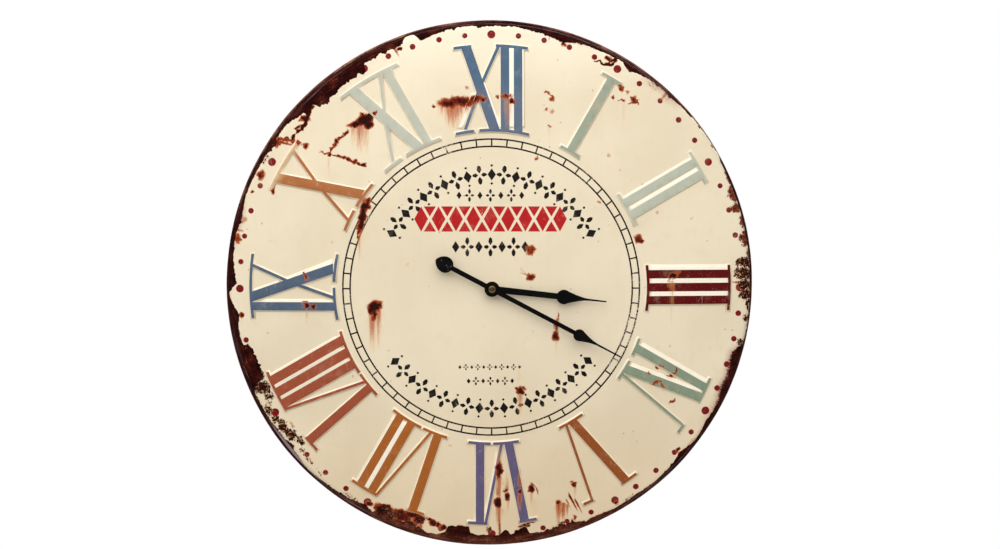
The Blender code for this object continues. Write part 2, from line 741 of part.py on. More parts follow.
def build_rotor():
    case_stack("rotor", MAGNET, FRONT_START, [
        FRONT_PIVOT,
        (9.6, circle(0.6, 12)),
        (10.7, gear(ROTOR_PINION, MOD_ROTOR, ROTOR_PHASE)),
        (11.2, circle(0.7, 12)),
        (12.8, circle(2.8, 24)),
        *REAR_END,
    ], ROTOR_AT)


# ------------------------------------------------------------------ movement case
WALL = 1.2
INNER = CASE - WALL              # half width inside the walls
BAY_TOP = -12.0                  # upper side of the battery bay
BAY = (-INNER, INNER, -INNER, BAY_TOP)
ROOM = (-INNER, INNER, BAY_TOP + WALL, INNER)    # room for the train
LEDGE, LID_GROWTH = 0.4, 0.2     # the lid's recess and the lid, beyond the room's edges
PILLARS = ((-22.0, -6.0), (21.5, -6.5), (7.5, 18.6))
PILLAR_TOP = 13.3


def around_room(growth, corner):
    x0, x1, z0, z1 = ROOM
    return box(x0 - growth, x1 + growth, z0 - growth, z1 + growth, corner, 2)


def build_case():
    """The case shell, open at the rear, and its lid."""
    outline = box(-CASE, CASE, -CASE, CASE, 3.0)
    bay = box(*BAY)
    room = around_room(0.0, 1.5)
    holes = [circle(3.62, 24)]
    holes += [circle(PIVOT_HOLE, 10, at) for at in (THIRD_AT, MOTION_AT, SET_AT, ROTOR_AT)]
    posts = [circle(2.0, 14, at) for at in PILLARS]
    sockets = [circle(0.85, 10, at) for at in PILLARS]
    case_stack("case_front", CASE_BLACK, 0.0, [
        (WALL, outline, *holes),
        (8.0, outline, bay, room, *posts),
        (PILLAR_TOP, outline, bay, room, *posts, *sockets),
        (15.0, outline, bay, room),
        (CASE_D, outline, bay, around_room(LEDGE, 1.5)),
    ])
    lid = around_room(LID_GROWTH, 1.4)
    case_stack("case_lid", LID_BLACK, 15.1, [(CASE_D, lid, circle(1.5, 16, SET_AT))])


# ------------------------------------------------------------------ fixings to the dial
BUSH_FRONT = -13.2
THREAD_PITCH, THREAD_TURNS = 0.8, 3
STRAP_FRONT, STRAP_REAR = -8.4, 6.6      # front of the lower part, rear of the upper part
STRAP_T = 0.8
STRAP_HALF = 11.0
# (depth, z) around the strap's side view
STRAP_SECTION = [
    (STRAP_FRONT, -12.0), (STRAP_FRONT + STRAP_T, -12.0), (STRAP_FRONT + STRAP_T, 29.6),
    (5.6, 31.6), (STRAP_REAR, 32.6), (STRAP_REAR, 50.0), (STRAP_REAR - STRAP_T, 50.0),
    (STRAP_REAR - STRAP_T, 33.1), (5.2, 32.4), (-8.0, 30.5), (STRAP_FRONT, 30.1),
]


def build_bush():
    """Round flange inside the case, ridged tube through case and dial."""
    bore, crest, root = circle(2.95, 20), circle(3.5, 20), circle(3.3, 20)
    layers = []
    for k in range(THREAD_TURNS):
        layers.append((BUSH_FRONT + THREAD_PITCH * (k + 0.5), crest, bore))
        layers.append((BUSH_FRONT + THREAD_PITCH * (k + 1), root, bore))
    layers.append((in_case(1.3), crest, bore))
    layers.append((in_case(1.7), circle(4.7, 20), bore))
    stack("threaded_bush", BRASS, BUSH_FRONT, layers)


def build_bush_fixings():
    stack("dial_washer", ZINC, -10.65, [(-10.15, circle(5.15, 28), circle(3.75, 24))])
    slotted_nut("bush_nut", front=-12.5, rear=-10.75, radius=5.15, slot_radius=4.5,
                bore=circle(3.7, 24))
    stack("rubber_washer", RUBBER, -9.1, [(-8.5, circle(13.0, 36), circle(4.1, 24))])


def build_hanger():
    """Strap behind the dial, stepped back above the case, keyhole at the top."""
    hanger = stack("hanger_strap", ZINC, -STRAP_HALF, [(STRAP_HALF, STRAP_SECTION)], view="end")
    keyhole = arc(3.6, 150.0, 240.0, 16, at=(0.0, 39.0)) + arc(1.7, 0.0, 180.0, 6, at=(0.0, 45.5))
    cuts = (
        stack("cut_bush", ZINC, -9.4, [(-6.6, circle(4.0, 24))]),
        stack("cut_key", ZINC, 4.6, [(7.8, keyhole)]),
    )
    for cut in cuts:
        modifier = hanger.modifiers.new(cut.name, "BOOLEAN")
        modifier.operation = "DIFFERENCE"
        modifier.solver = "EXACT"
        modifier.object = cut
        cut.hide_render = True
        cut.display_type = "WIRE"


# ------------------------------------------------------------------ battery bay
BATTERY_AT = (in_case(8.5), (BAY[2] + BAY[3]) / 2)     # (depth, z) of the cell's axis
BATTERY_R, BATTERY_END_R, BATTERY_NUB_R = 7.1, 6.7, 2.7
# (x, case depth) around each contact, seen from above
POSITIVE_OUTLINE = [
    (25.5, 3.0), (25.9, 2.6), (26.4, 2.6), (26.4, 15.2), (26.0, 15.2), (26.0, 12.4), (25.5, 11.6),
]
NEGATIVE_OUTLINE = [
    (-26.5, 2.6), (-26.1, 2.6), (-26.1, 3.4), (-25.15, 8.3), (-25.15, 8.9), (-25.75, 12.6),
    (-26.05, 12.5), (-25.5, 8.6), (-26.2, 5.0), (-26.2, 15.2), (-26.5, 15.2),
]


def build_battery():
    cell = circle(BATTERY_R, 28, BATTERY_AT)
    end = circle(BATTERY_END_R, 28, BATTERY_AT)
    nub = circle(BATTERY_NUB_R, 14, BATTERY_AT)
    stack("battery", BATTERY_GREEN, -24.9, [
        (-24.5, end),
        (23.9, cell),
        (24.3, end),
        (25.3, nub),
    ], view="end")


def build_contact(name, outline, low, high):
    loop = [(x, in_case(depth)) for x, depth in outline]
    stack(name, SPRING, low, [(high, loop)], view="top")


# ------------------------------------------------------------------ bridge over the train
# (x, z) around the bridge plate, with a tab at the top for the third pillar
BRIDGE_OUTLINE = [
    (-25.0, -9.8), (25.0, -9.8), (25.0, 17.2), (10.6, 17.2),
    (10.6, 21.6), (5.0, 21.6), (5.0, 17.2), (-25.0, 17.2),
]


def build_bridge():
    holes = [circle(PIVOT_HOLE, 10, at) for at in (THIRD_AT, INTER_AT, ROTOR_AT, (0.0, 0.0))]
    holes.append(circle(1.25, 14, SET_AT))
    holes += [circle(1.05, 12, at) for at in PILLARS]
    case_stack("train_bridge", BRIDGE_GREY, 13.4, [(14.2, BRIDGE_OUTLINE, *holes)])


def build_bridge_screws():
    """One slotted screw in each case pillar."""
    for number, at in enumerate(PILLARS, start=1):
        case_stack(f"bridge_screw_{number}", ZINC, 9.5, [
            (14.25, circle(0.7, 10)),
            (14.7, circle(1.7, 16)),
            (14.95, circle(1.3, 16), box(-0.9, 0.9, -0.2, 0.2)),
        ], at)


# ------------------------------------------------------------------ stepping motor, electronics
MOTOR_LEFT, MOTOR_RIGHT = -25.0, 4.5
# (x, z) around the stator plate: a bar with an arm going up at each end
STATOR_OUTLINE = [
    (MOTOR_LEFT, 7.6), (MOTOR_RIGHT, 7.6), (MOTOR_RIGHT, 24.0), (2.2, 24.0),
    (2.2, 14.6), (-22.7, 14.6), (-22.7, 24.0), (MOTOR_LEFT, 24.0),
]
CORE_FRONT, CORE_REAR = 10.7, 11.3       # case depths
CORE_Z = 21.5
CHIP_AT = (15.0, 22.0)
CRYSTAL_AT = (in_case(11.0), 20.4)       # (depth, z) of the can's axis


def build_motor():
    case_stack("stator", CORE_STEEL, 11.4, [(12.2, STATOR_OUTLINE, circle(3.3, 24, ROTOR_AT))])
    core = box(MOTOR_LEFT, MOTOR_RIGHT, CORE_Z - 1.3, CORE_Z + 1.3)
    case_stack("coil_core", CORE_STEEL, CORE_FRONT, [(CORE_REAR, core)])
    depth = in_case((CORE_FRONT + CORE_REAR) / 2)
    flange = circle(3.3, 24, (depth, CORE_Z))
    winding = circle(2.9, 24, (depth, CORE_Z))
    slot = box(depth - 0.45, depth + 0.45, CORE_Z - 1.5, CORE_Z + 1.5)
    stack("coil", COPPER, -22.3, [
        (-21.5, flange, slot),
        (1.1, winding, slot),
        (1.9, flange, slot),
    ], view="end")


def build_electronics():
    case_stack("circuit_board", BOARD, 12.4, [(13.2, box(11.4, 26.2, 17.8, 26.2))])
    case_stack("chip", EPOXY, 13.3, [
        (13.8, circle(2.2, 18, CHIP_AT)),
        (14.1, circle(1.6, 18, CHIP_AT)),
    ])
    can = circle(1.1, 16, CRYSTAL_AT)
    neck = circle(0.8, 16, CRYSTAL_AT)
    stack("quartz_crystal", CRYSTAL_CAN, 14.0, [(14.3, neck), (20.0, can), (20.4, neck)],
          view="end")


build_dial()
build_hands()
build_minute_arbor()
build_motion_wheel()
build_hour_wheel()
build_setting_arbor()
build_setting_knob()
build_centre_wheel()
build_third_wheel()
build_seconds_wheel()
build_intermediate_wheel()
build_rotor()
build_case()
build_bush()
build_bush_fixings()
build_hanger()
build_battery()
build_contact("contact_positive", POSITIVE_OUTLINE, low=-24.0, high=-15.0)
build_contact("contact_negative", NEGATIVE_OUTLINE, low=-23.5, high=-15.5)
build_bridge()
build_bridge_screws()
build_motor()
build_electronics()
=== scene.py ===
"""Looks for a round pressed-steel wall clock: chipped enamel over rusted steel, spade hands,
quartz movement.

The dial faces -Y, with twelve towards +Z and three towards +X. Sizes are in mm. Depth runs
towards the back (+Y) from the plane of the dial's edge. A station is the distance from the
centre measured along the pan's outer face, and clock angles run clockwise from twelve. Flat
(x, z) points are laid on the pan by taking their radius as a station.
"""

import contextlib
import json
import math
import random

import bpy
import bmesh
import numpy as np
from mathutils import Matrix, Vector, noise
from mathutils.geometry import delaunay_2d_cdt


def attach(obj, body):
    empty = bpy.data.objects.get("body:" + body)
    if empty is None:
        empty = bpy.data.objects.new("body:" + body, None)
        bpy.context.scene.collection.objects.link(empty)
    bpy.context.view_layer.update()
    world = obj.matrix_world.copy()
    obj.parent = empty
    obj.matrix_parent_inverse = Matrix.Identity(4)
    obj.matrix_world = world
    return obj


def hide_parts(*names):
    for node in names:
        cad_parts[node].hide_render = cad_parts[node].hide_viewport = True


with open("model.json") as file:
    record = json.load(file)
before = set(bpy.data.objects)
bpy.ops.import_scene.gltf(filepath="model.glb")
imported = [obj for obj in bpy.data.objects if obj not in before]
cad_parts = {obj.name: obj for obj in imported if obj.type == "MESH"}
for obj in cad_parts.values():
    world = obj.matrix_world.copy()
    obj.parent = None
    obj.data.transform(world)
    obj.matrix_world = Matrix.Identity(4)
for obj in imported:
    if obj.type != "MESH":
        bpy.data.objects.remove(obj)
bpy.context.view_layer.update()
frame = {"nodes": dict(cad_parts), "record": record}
random.seed(11)

# ---------------------------------------------------------------- dimensions
MM = 0.001
SHIFT = 1.9             # the dial's edge plane along +Y
RIM_R = 200.0
DIAL_R = 192.0          # edge of the dome
DOME_H = 10.0
SHEET = 0.8
SHOULDER = 5.0          # bend radius between dome and skirt
BEAD_R = 2.6            # rolled edge
BACK = 15.0
LIP_R = 189.0           # inner edge of the back lip
CENTRE_HOLE = 3.9
PAINT = 0.13
PAINT_SINK = 0.12       # how far the paint layer reaches into the steel
RAISE = 0.95            # height of the numerals

DOME_LEAN = math.atan(2 * DOME_H / DIAL_R)      # slope at the dome's edge
SKIRT_LEAN = math.radians(82.0)
BEND_R = DIAL_R - SHOULDER * math.sin(DOME_LEAN)    # centre of the shoulder's bend
BEND_DEPTH = SHOULDER * math.cos(DOME_LEAN)

# Numerals: radii, serif depth, stroke widths
NUM_IN, NUM_OUT = 115.9, 180.2
SERIF = 2.1
STROKE_IN, STROKE_OUT = NUM_IN + 1.1, NUM_OUT - 1.1
STEM, HAIR = 6.3, 2.1
X_SLANT, X_WIDE, X_HAIR = 21.0, 7.6, HAIR + 0.3
X_TOP, X_LOW = 178.3, 117.4
V_SLANT, V_WIDE, V_OPEN, V_FOOT = 12.7, 7.0, 33.1, 21.2

# Outset round a numeral, height there, outward tilt of the normal
RAISE_LEVELS = ((1.35, 0.0, 0.0), (0.9, 0.2, 0.75), (0.45, 0.68, 1.0), (0.0, RAISE, 0.26))
PRESS_DEPTH = 0.5
PRESS_LEVELS = ((1.7, 0.0, 0.0), (1.2, 0.06, 0.55), (0.6, 0.3, 0.75), (0.1, PRESS_DEPTH, 0.1))

TRACK = ((104.45, 105.65), (109.85, 111.05))    # inner and outer radius of the two rings
TICK = 0.55                                     # half width of a minute tick
DOT_RING_R = 187.6


# ---------------------------------------------------------------- the pan's section
def dome_depth(radius):
    return -DOME_H * (1 - (radius / DIAL_R) ** 2)


def section():
    """Columns along the outer face: station, radius, depth, normal's radial and depth parts."""
    rows = [(r, r, dome_depth(r)) for r in np.arange(0.0, DIAL_R, 1.0)]
    for k in range(13):
        lean = DOME_LEAN + (SKIRT_LEAN - DOME_LEAN) * k / 12
        rows.append((DIAL_R + SHOULDER * (lean - DOME_LEAN), BEND_R + SHOULDER * math.sin(lean),
                     BEND_DEPTH - SHOULDER * math.cos(lean)))
    station, radius, depth = rows[-1]
    station += math.hypot(RIM_R - BEAD_R - radius, BACK - 2 * BEAD_R - depth)
    for k in range(21):
        angle = math.pi * (k / 20 - 0.5)
        rows.append((station + BEAD_R * math.pi * k / 20,
                     RIM_R - BEAD_R + BEAD_R * math.cos(angle),
                     BACK - BEAD_R + BEAD_R * math.sin(angle)))
    rows.append((rows[-1][0] + RIM_R - BEAD_R - LIP_R, LIP_R, BACK))
    table = np.array(rows)
    along = np.gradient(table[:, 1:], table[:, 0], axis=0)
    along /= np.linalg.norm(along, axis=1)[:, None]
    return table[:, 0], table[:, 1], table[:, 2], along[:, 1], -along[:, 0]


STATIONS, RADII, DEPTHS, NORMAL_OUT, NORMAL_DEPTH = section()
LIP_STATION = float(STATIONS[-1])


def dents(angle, station):
    """Small waves in the rolled edge and skirt."""
    out = np.zeros(len(station))
    first, last = 194.0, LIP_STATION - 6.0
    for i in np.nonzero((station > first) & (station < last))[0]:
        weight = min(1.0, (station[i] - first) / 4.0) * min(1.0, (last - station[i]) / 3.0)
        place = Vector((math.sin(angle[i]) * 5.0, math.cos(angle[i]) * 5.0, station[i] * 0.06))
        out[i] = weight * (0.22 * noise.noise(place) + 0.08 * noise.noise(place * 4.1))
    return out


def surface(x, z, lift):
    """World places and normals of flat points, lifted off the pan's outer face."""
    x, z = np.asarray(x, float), np.asarray(z, float)
    station, angle = np.hypot(x, z), np.arctan2(x, z)
    out = np.interp(station, STATIONS, NORMAL_OUT)
    deep = np.interp(station, STATIONS, NORMAL_DEPTH)
    radius = np.interp(station, STATIONS, RADII) + out * lift + dents(angle, station)
    depth = np.interp(station, STATIONS, DEPTHS) + deep * lift
    normal = np.stack([out * np.sin(angle), deep, out * np.cos(angle)], -1)
    normal /= np.linalg.norm(normal, axis=1)[:, None]
    place = np.stack([radius * np.sin(angle), depth + SHIFT, radius * np.cos(angle)], -1)
    return place * MM, normal


# ---------------------------------------------------------------- plane geometry
def smoothstep(x, low, high):
    part = np.clip((np.asarray(x, float) - low) / (high - low), 0, 1)
    return part * part * (3 - 2 * part)


def polar(radius, angle):
    """Flat point at a clock angle in radians."""
    return radius * math.sin(angle), radius * math.cos(angle)


def degrees_off(degree, centre):
    """Signed angle from a centre, within half a turn."""
    return (degree - centre + 180) % 360 - 180


def swell(degree, centre, half):
    """1 at a clock angle, falling to 0 at half a width away."""
    return np.clip(1 - (np.abs(degrees_off(degree, centre)) / half) ** 2, 0, 1)


def inside(points, loops):
    """Even-odd test of many points against loops."""
    odd = np.zeros(len(points), bool)
    for loop in loops:
        corners = np.asarray(loop, float)
        low, high = corners.min(0), corners.max(0)
        near = np.nonzero(((points >= low) & (points <= high)).all(1))[0]
        x, y = points[near, 0], points[near, 1]
        crossed = np.zeros(len(near), bool)
        x0, y0 = corners[-1]
        for x1, y1 in corners:
            if y1 != y0:
                crossed ^= ((y1 > y) != (y0 > y)) & (x < (x0 - x1) * (y - y1) / (y0 - y1) + x1)
            x0, y0 = x1, y1
        odd[near] ^= crossed
    return odd


def triangulate(loops, extra=()):
    """Points, and an array of triangles, of a triangulation that keeps the loops' edges."""
    points, index, edges = [], {}, []

    def number(point):
        if point not in index:
            index[point] = len(points)
            points.append(point)
        return index[point]

    for loop in loops:
        ids = [number(point) for point in loop]
        edges += [(ids[i], ids[(i + 1) % len(ids)]) for i in range(len(ids))]
    for point in extra:
        number(point)
    out, _, faces, sources, _, _ = delaunay_2d_cdt(
        [Vector(p) for p in points], edges, [], 0, 1e-5, True)
    real = [points[s[0]] if s else (v.x, v.y) for v, s in zip(out, sources)]
    return real, np.array([tuple(face) for face in faces if len(face) == 3])


def centroids(points, tris):
    return np.array(points)[tris].mean(1)


def circle(radius, count, phase=0.0):
    angles = [phase + 2 * math.pi * i / count for i in range(count)]
    return [(radius * math.cos(a), radius * math.sin(a)) for a in angles]


def grow(loop, outset):
    """A counter-clockwise loop moved outwards."""
    out = []
    for i in range(len(loop)):
        before, here, after = (Vector(loop[j % len(loop)]) for j in (i - 1, i, i + 1))
        inward, onward = (here - before).normalized(), (after - here).normalized()
        side_in, side_on = Vector((inward.y, -inward.x)), Vector((onward.y, -onward.x))
        mitre = side_in + side_on
        point = here + mitre * (outset / max(0.45, 1.0 + side_in.dot(side_on)))
        out.append((point.x, point.y))
    return out


def tidy(loop, flat=0.03, short=0.14):
    """Drops corners that are nearly straight or crowd the one before."""
    loop = list(loop)
    changed = True
    while changed and len(loop) > 3:
        changed = False
        for i in range(len(loop)):
            a, b, c = loop[i - 1], loop[i], loop[(i + 1) % len(loop)]
            x, y = c[0] - a[0], c[1] - a[1]
            length = math.hypot(x, y)
            off = abs(x * (b[1] - a[1]) - y * (b[0] - a[0])) / length if length > 1e-9 else 0.0
            if off < flat or math.hypot(b[0] - a[0], b[1] - a[1]) < short:
                del loop[i]
                changed = True
                break
    return loop


def union_loops(pieces):
    """Outlines of the pieces' union."""
    points, tris = triangulate(pieces)
    centres = centroids(points, tris)
    covered = np.any([inside(centres, [piece]) for piece in pieces], axis=0)
    edges = {}
    for tri in tris[covered].tolist():
        for i in range(3):
            edge = (tri[i], tri[(i + 1) % 3])
            if edge[::-1] in edges:
                del edges[edge[::-1]]
            else:
                edges[edge] = True
    after = {}
    for a, b in edges:
        after.setdefault(a, []).append(b)
    loops = []
    while after:
        start = here = min(after)
        loop = []
        while not loop or here != start:
            loop.append(points[here])
            onward = after[here].pop()
            if not after[here]:
                del after[here]
            here = onward
        loops.append(tidy(loop))
    return [loop for loop in loops if len(loop) > 2]


def densify(loop, step):
    """Adds points along long edges of a loop."""
    out = []
    for i in range(len(loop)):
        a, b = loop[i], loop[(i + 1) % len(loop)]
        n = max(1, int(math.hypot(b[0] - a[0], b[1] - a[1]) / step))
        out += [(a[0] + (b[0] - a[0]) * k / n, a[1] + (b[1] - a[1]) * k / n) for k in range(n)]
    return out


def spin(loop, degrees):
    """A loop turned clockwise about the dial's centre."""
    angle = math.radians(degrees)
    s, c = math.sin(angle), math.cos(angle)
    return [(x * c + z * s, z * c - x * s) for x, z in loop]


# ---------------------------------------------------------------- numerals
# Each is drawn upright at twelve. i, x and v: left edges of the strokes of those letters;
# stem: another width for i; v_fit: scales of v's opening, slant and foot;
# top and low: spans of the outer and inner serifs.
NUMERALS = {
    12: dict(x=-22.7, i=(6.7, 16.4), top=((-28.1, -15.0), (3.2, 27.0)),
             low=((-26.7, -13.1), (-9.1, 27.8))),
    1: dict(i=(-3.4,), top=((-8.6, 8.2),), low=((-8.6, 7.9),)),
    2: dict(i=(-8.5, 1.5), top=((-13.9, 12.2),), low=((-13.6, 12.8),)),
    3: dict(i=(-13.5, -3.7, 6.0), top=((-17.2, 17.2),), low=((-17.3, 17.3),)),
    4: dict(i=(-18.3,), v=-10.5, v_fit=(0.86, 0.76, 0.82), top=((-23.3, -3.3), (17.7, 24.7)),
            low=((-22.8, -9.2), (-4.4, 11.7))),
    5: dict(v=-18.4, top=((-24.6, -11.2), (13.8, 21.9)), low=((-11.6, 8.8),)),
    6: dict(v=-28.7, i=(5.6,), top=((-34.5, -21.4), (3.2, 17.9)),
            low=((-20.6, -1.1), (0.8, 17.6))),
    7: dict(v=-36.0, i=(-1.5, 8.2), top=((-41.8, -28.9), (-3.2, 18.6)),
            low=((-27.3, -8.1), (-6.4, 18.4))),
    8: dict(v=-34.4, i=(-0.6, 9.0, 18.7), stem=7.1, top=((-40.4, -27.4), (-2.6, 29.8)),
            low=((-26.3, -6.3), (-5.2, 29.0))),
    9: dict(i=(-16.4,), x=-9.9, top=((-22.3, 25.9),), low=((-23.4, 0.8), (5.1, 25.7))),
    10: dict(x=-12.3, top=((-18.3, 22.8),), low=((-17.2, -0.8), (2.6, 23.1))),
    11: dict(x=-19.3, i=(9.9,), top=((-26.2, 22.7),), low=((-25.1, -10.1), (-5.1, 22.7))),
}
# Raised strips beside the colour, printed near white as a painted highlight on their lit sides:
# (outer left, outer width, outer height, inner left, inner width, inner height)
HIGHLIGHT_STRIPS = {
    12: ((-6.4, 1.6, 151.5, 4.9, 2.2, 119.0), (-14.4, 2.8, 143.5, -24.2, 2.8, 119.0),
         (13.0, 3.4, 177.0, 13.0, 3.4, 119.5), (22.7, 0.9, 176.0, 22.7, 0.9, 120.0)),
    1: ((-3.7, 0.3, 176.0, -3.7, 0.3, 119.5),),
    2: ((-9.4, 0.9, 177.0, -9.4, 0.9, 119.5), (-0.9, 2.4, 177.0, -0.9, 2.4, 119.5)),
    3: ((-16.4, 2.9, 177.2, -16.5, 3.0, 119.4), (-7.2, 3.5, 177.2, -7.2, 3.5, 119.4),
        (2.6, 3.4, 177.2, 2.6, 3.4, 119.4)),
    4: ((-20.4, 2.1, 176.5, -20.4, 2.1, 119.5), (-12.3, 1.9, 176.5, -3.0, 2.9, 119.8)),
    5: (),
    6: ((3.9, 1.0, 172.0, -4.6, 0.9, 124.0),),
    7: ((4.8, 3.4, 177.5, 4.8, 3.4, 119.5), (14.5, 0.9, 176.0, 14.5, 0.9, 119.5)),
    8: ((6.4, 2.7, 177.5, 6.4, 2.7, 119.5), (16.0, 2.8, 177.5, 16.0, 2.8, 119.5),
        (25.7, 0.9, 176.0, 25.7, 0.9, 119.5)),
    9: ((-10.1, 1.3, 168.0, -10.1, 1.3, 119.8), (6.6, 1.2, 152.0, 18.0, 2.6, 119.0),
        (-1.9, 0.9, 176.0, 3.6, 0.9, 160.0)),
    10: (),
    11: (),
}


def srgb(*channels):
    """Linear colour from 0-255 channels."""
    return tuple((v / 255.0 / 12.92) if v <= 10 else ((v / 255.0 + 0.055) / 1.055) ** 2.4
                 for v in channels)


# Print colours: the hours, then other marks; the near white of the raised strips is a painted
# highlight
DOT, BLACK, RED, PAINTED_HIGHLIGHT = 20, 21, 22, 100
PRINTS = {
    12: srgb(78, 102, 126), 1: srgb(155, 163, 144), 2: srgb(184, 188, 170), 3: srgb(90, 10, 9),
    4: srgb(134, 147, 125), 5: srgb(147, 79, 38), 6: srgb(98, 89, 121), 7: srgb(167, 95, 41),
    8: srgb(157, 79, 54), 9: srgb(81, 97, 117), 10: srgb(172, 107, 63), 11: srgb(187, 188, 172),
    PAINTED_HIGHLIGHT: srgb(255, 247, 228), DOT: srgb(122, 16, 24), BLACK: srgb(24, 17, 15),
    RED: srgb(180, 30, 32),
}


def slant(top_left, top_wide, top, low_left, low_wide, low):
    return [(low_left, low), (low_left + low_wide, low), (top_left + top_wide, top),
            (top_left, top)]


def upright(radius, x):
    """Height at which a circle passes x."""
    return math.sqrt(radius * radius - x ** 2)


def serif(left, right, inner, outer):
    """A band between two radii, in short pieces."""
    count = max(2, round((right - left) / 7.0))
    out = []
    for k in range(count):
        a, b = (math.asin((left + (right - left) * (k + e) / count) / outer) for e in (0.0, 1.0))
        out.append([polar(inner, a), polar(inner, b), polar(outer, b), polar(outer, a)])
    return out


def numeral_pieces(spec):
    parts = []
    stem = spec.get("stem", STEM)
    for x in spec.get("i", ()):
        middle = x + stem / 2
        parts.append(slant(x, stem, upright(STROKE_OUT, middle),
                           x, stem, upright(STROKE_IN, middle)))
    if "x" in spec:
        x = spec["x"]
        parts.append(slant(x, X_WIDE, X_TOP, x + X_SLANT, X_WIDE, X_LOW))
        parts.append(slant(x + 26.4, X_HAIR, X_TOP, x + 14.6, X_HAIR, 152.0))
        parts.append(slant(x + 11.8, X_HAIR, 145.0, x + 2.1, X_HAIR, X_LOW))
    if "v" in spec:
        x = spec["v"]
        open_fit, slant_fit, foot_fit = spec.get("v_fit", (1.0, 1.0, 1.0))
        right, low = x + V_OPEN * open_fit, upright(STROKE_IN, x + 16.0)
        parts.append(slant(x, V_WIDE, upright(STROKE_OUT, x + 3.0),
                           x + V_SLANT * slant_fit, V_WIDE - 0.4, low))
        parts.append(slant(right - HAIR / 2, HAIR, upright(STROKE_OUT, right),
                           x + V_FOOT * foot_fit - HAIR / 2, HAIR, low))
    for left, right in spec["top"]:
        parts += serif(left, right, NUM_OUT - SERIF, NUM_OUT)
    for left, right in spec["low"]:
        parts += serif(left, right, NUM_IN, NUM_IN + SERIF)
    return parts


# Raised strips beside a numeral; their near-white print is a painted highlight.
def highlight_strip_pieces(hour):
    return [slant(*row) for row in HIGHLIGHT_STRIPS[hour]]


class Relief:
    """Heights and normal tilts at the points of loops drawn round the numerals."""

    def __init__(self):
        self.heights, self.slopes = {}, {}

    def outline(self, hour, pieces, outset, height, slope, step):
        """Loops round a numeral at one outset; their points take the height and tilt."""
        grown = union_loops([grow(piece, outset) if outset else piece for piece in pieces])
        loops = [densify(spin(loop, 30.0 * hour), step) for loop in grown]
        for loop in loops:
            for i, point in enumerate(loop):
                a, b = loop[i - 1], loop[(i + 1) % len(loop)]
                outward = Vector((b[1] - a[1], a[0] - b[0])).normalized()
                self.heights[point] = height
                self.slopes[point] = (outward.x * slope, outward.y * slope)
        return loops


# ---------------------------------------------------------------- where the paint ends
# (clock degrees, station)
PAINT_EDGE = np.array((
    (0, 193.5), (4, 194.8), (9, 192.6), (13, 191.4), (16, 189.4), (20, 193), (27, 193.8),
    (30, 194.7), (32, 191), (35, 193.2), (38, 195.6), (41, 196.6), (43, 195), (45, 196),
    (47.5, 201), (50, 205.6), (60, 206.2), (62, 204), (64, 196), (66, 197.6), (69, 199),
    (72, 197), (75, 199), (78, 197), (81, 200), (84, 198), (87, 196), (90, 197), (93, 199),
    (96, 201), (98, 205), (99.5, 205.5), (101, 200), (102.5, 197), (103.5, 193), (105, 189.6),
    (107, 189.6), (109, 191), (111, 192), (113, 191), (115.5, 192), (117, 193.3),
    (119.5, 192.8), (122, 192.2), (127, 194.5), (131, 190.8), (135, 193), (140, 193.8),
    (145, 192.6), (150, 193.4), (154.5, 192.2), (157, 191.6), (158, 193.8), (158.6, 191.8),
    (161, 189), (162.6, 189.6), (164.3, 189), (166.4, 190), (168.1, 190.7), (171.2, 189.6),
    (171.7, 185.4), (173, 184.8), (174.2, 186.2), (174.8, 188.6), (175.6, 189), (176.1, 185.8),
    (176.8, 184.8), (177.4, 186.4), (178.2, 189.4), (180.7, 188.7), (183, 188.9),
    (184.9, 187.6), (185.4, 182.8), (188.1, 182.6), (188.6, 183.8), (190.3, 184.2),
    (190.7, 189), (192.4, 192.2), (194.3, 193.2), (197, 191), (200, 189.4), (203, 191),
    (206, 186.5), (208, 192.5), (210, 190), (214, 192.5), (221, 194.2), (226, 196),
    (228.5, 193.4), (231, 192), (232.2, 191), (233.5, 192.8), (236, 193.2), (239, 194),
    (242, 194.2), (244, 194.4), (246.4, 194.6), (247.6, 190), (248.6, 184.4), (250.7, 182.8),
    (252.3, 183.5), (253.8, 183.3), (254.6, 184.8), (255.7, 184.1), (256.8, 186.4),
    (257.1, 190.4), (258.9, 191.4), (261, 191.6), (264, 189.4), (266, 192.5), (269, 197.3),
    (271, 189.9), (276, 193.5), (281, 194.6), (286, 192.5), (291, 195.5), (298, 194.4),
    (301, 194.1), (303.6, 191.4), (305, 194), (307.8, 194.4), (309, 193.9), (310.4, 192.1),
    (312.1, 191.4), (313.1, 190), (313.5, 186), (314.1, 186.4), (314.6, 188.6), (315.1, 190),
    (316.2, 188.4), (317, 185), (317.9, 183.5), (319.2, 182.7), (319.9, 184.6), (321, 183.8),
    (322.9, 185.5), (325.2, 186.3), (327.5, 185.7), (328.1, 187.3), (329.2, 185.2),
    (330, 185.6), (330.4, 190.6), (332.7, 190.8), (334.7, 192.2), (338, 190.8), (340, 192.1),
    (342, 203), (344, 190.2), (350, 193.6), (355, 194.5), (360, 193.5))).T


def edge_station(degree):
    """Where the paint ends at a clock angle, with a ragged chipped outline."""
    degree = degree % 360.0
    base = float(np.interp(degree, *PAINT_EDGE))
    angle = math.radians(degree)
    place = Vector((math.sin(angle), math.cos(angle), 0.3))
    broad = noise.noise(place * 5.0 + Vector((2, 9, 4)))
    rough = 0.45 + 0.6 * max(0.0, min(1.0, 0.5 + 2.0 * broad))
    rag = (0.5 * noise.noise(place * 40.0) + 0.7 * noise.noise(place * 95.0)
           + 0.5 * noise.noise(place * 210.0) + 0.2 * noise.noise(place * 420.0))
    bite = min(0.0, noise.noise(place * 62.0 + Vector((7, 3, 1))) + 0.25) * 3.5
    return base + (rag + bite) * (0.35 if base > 200.0 else rough)


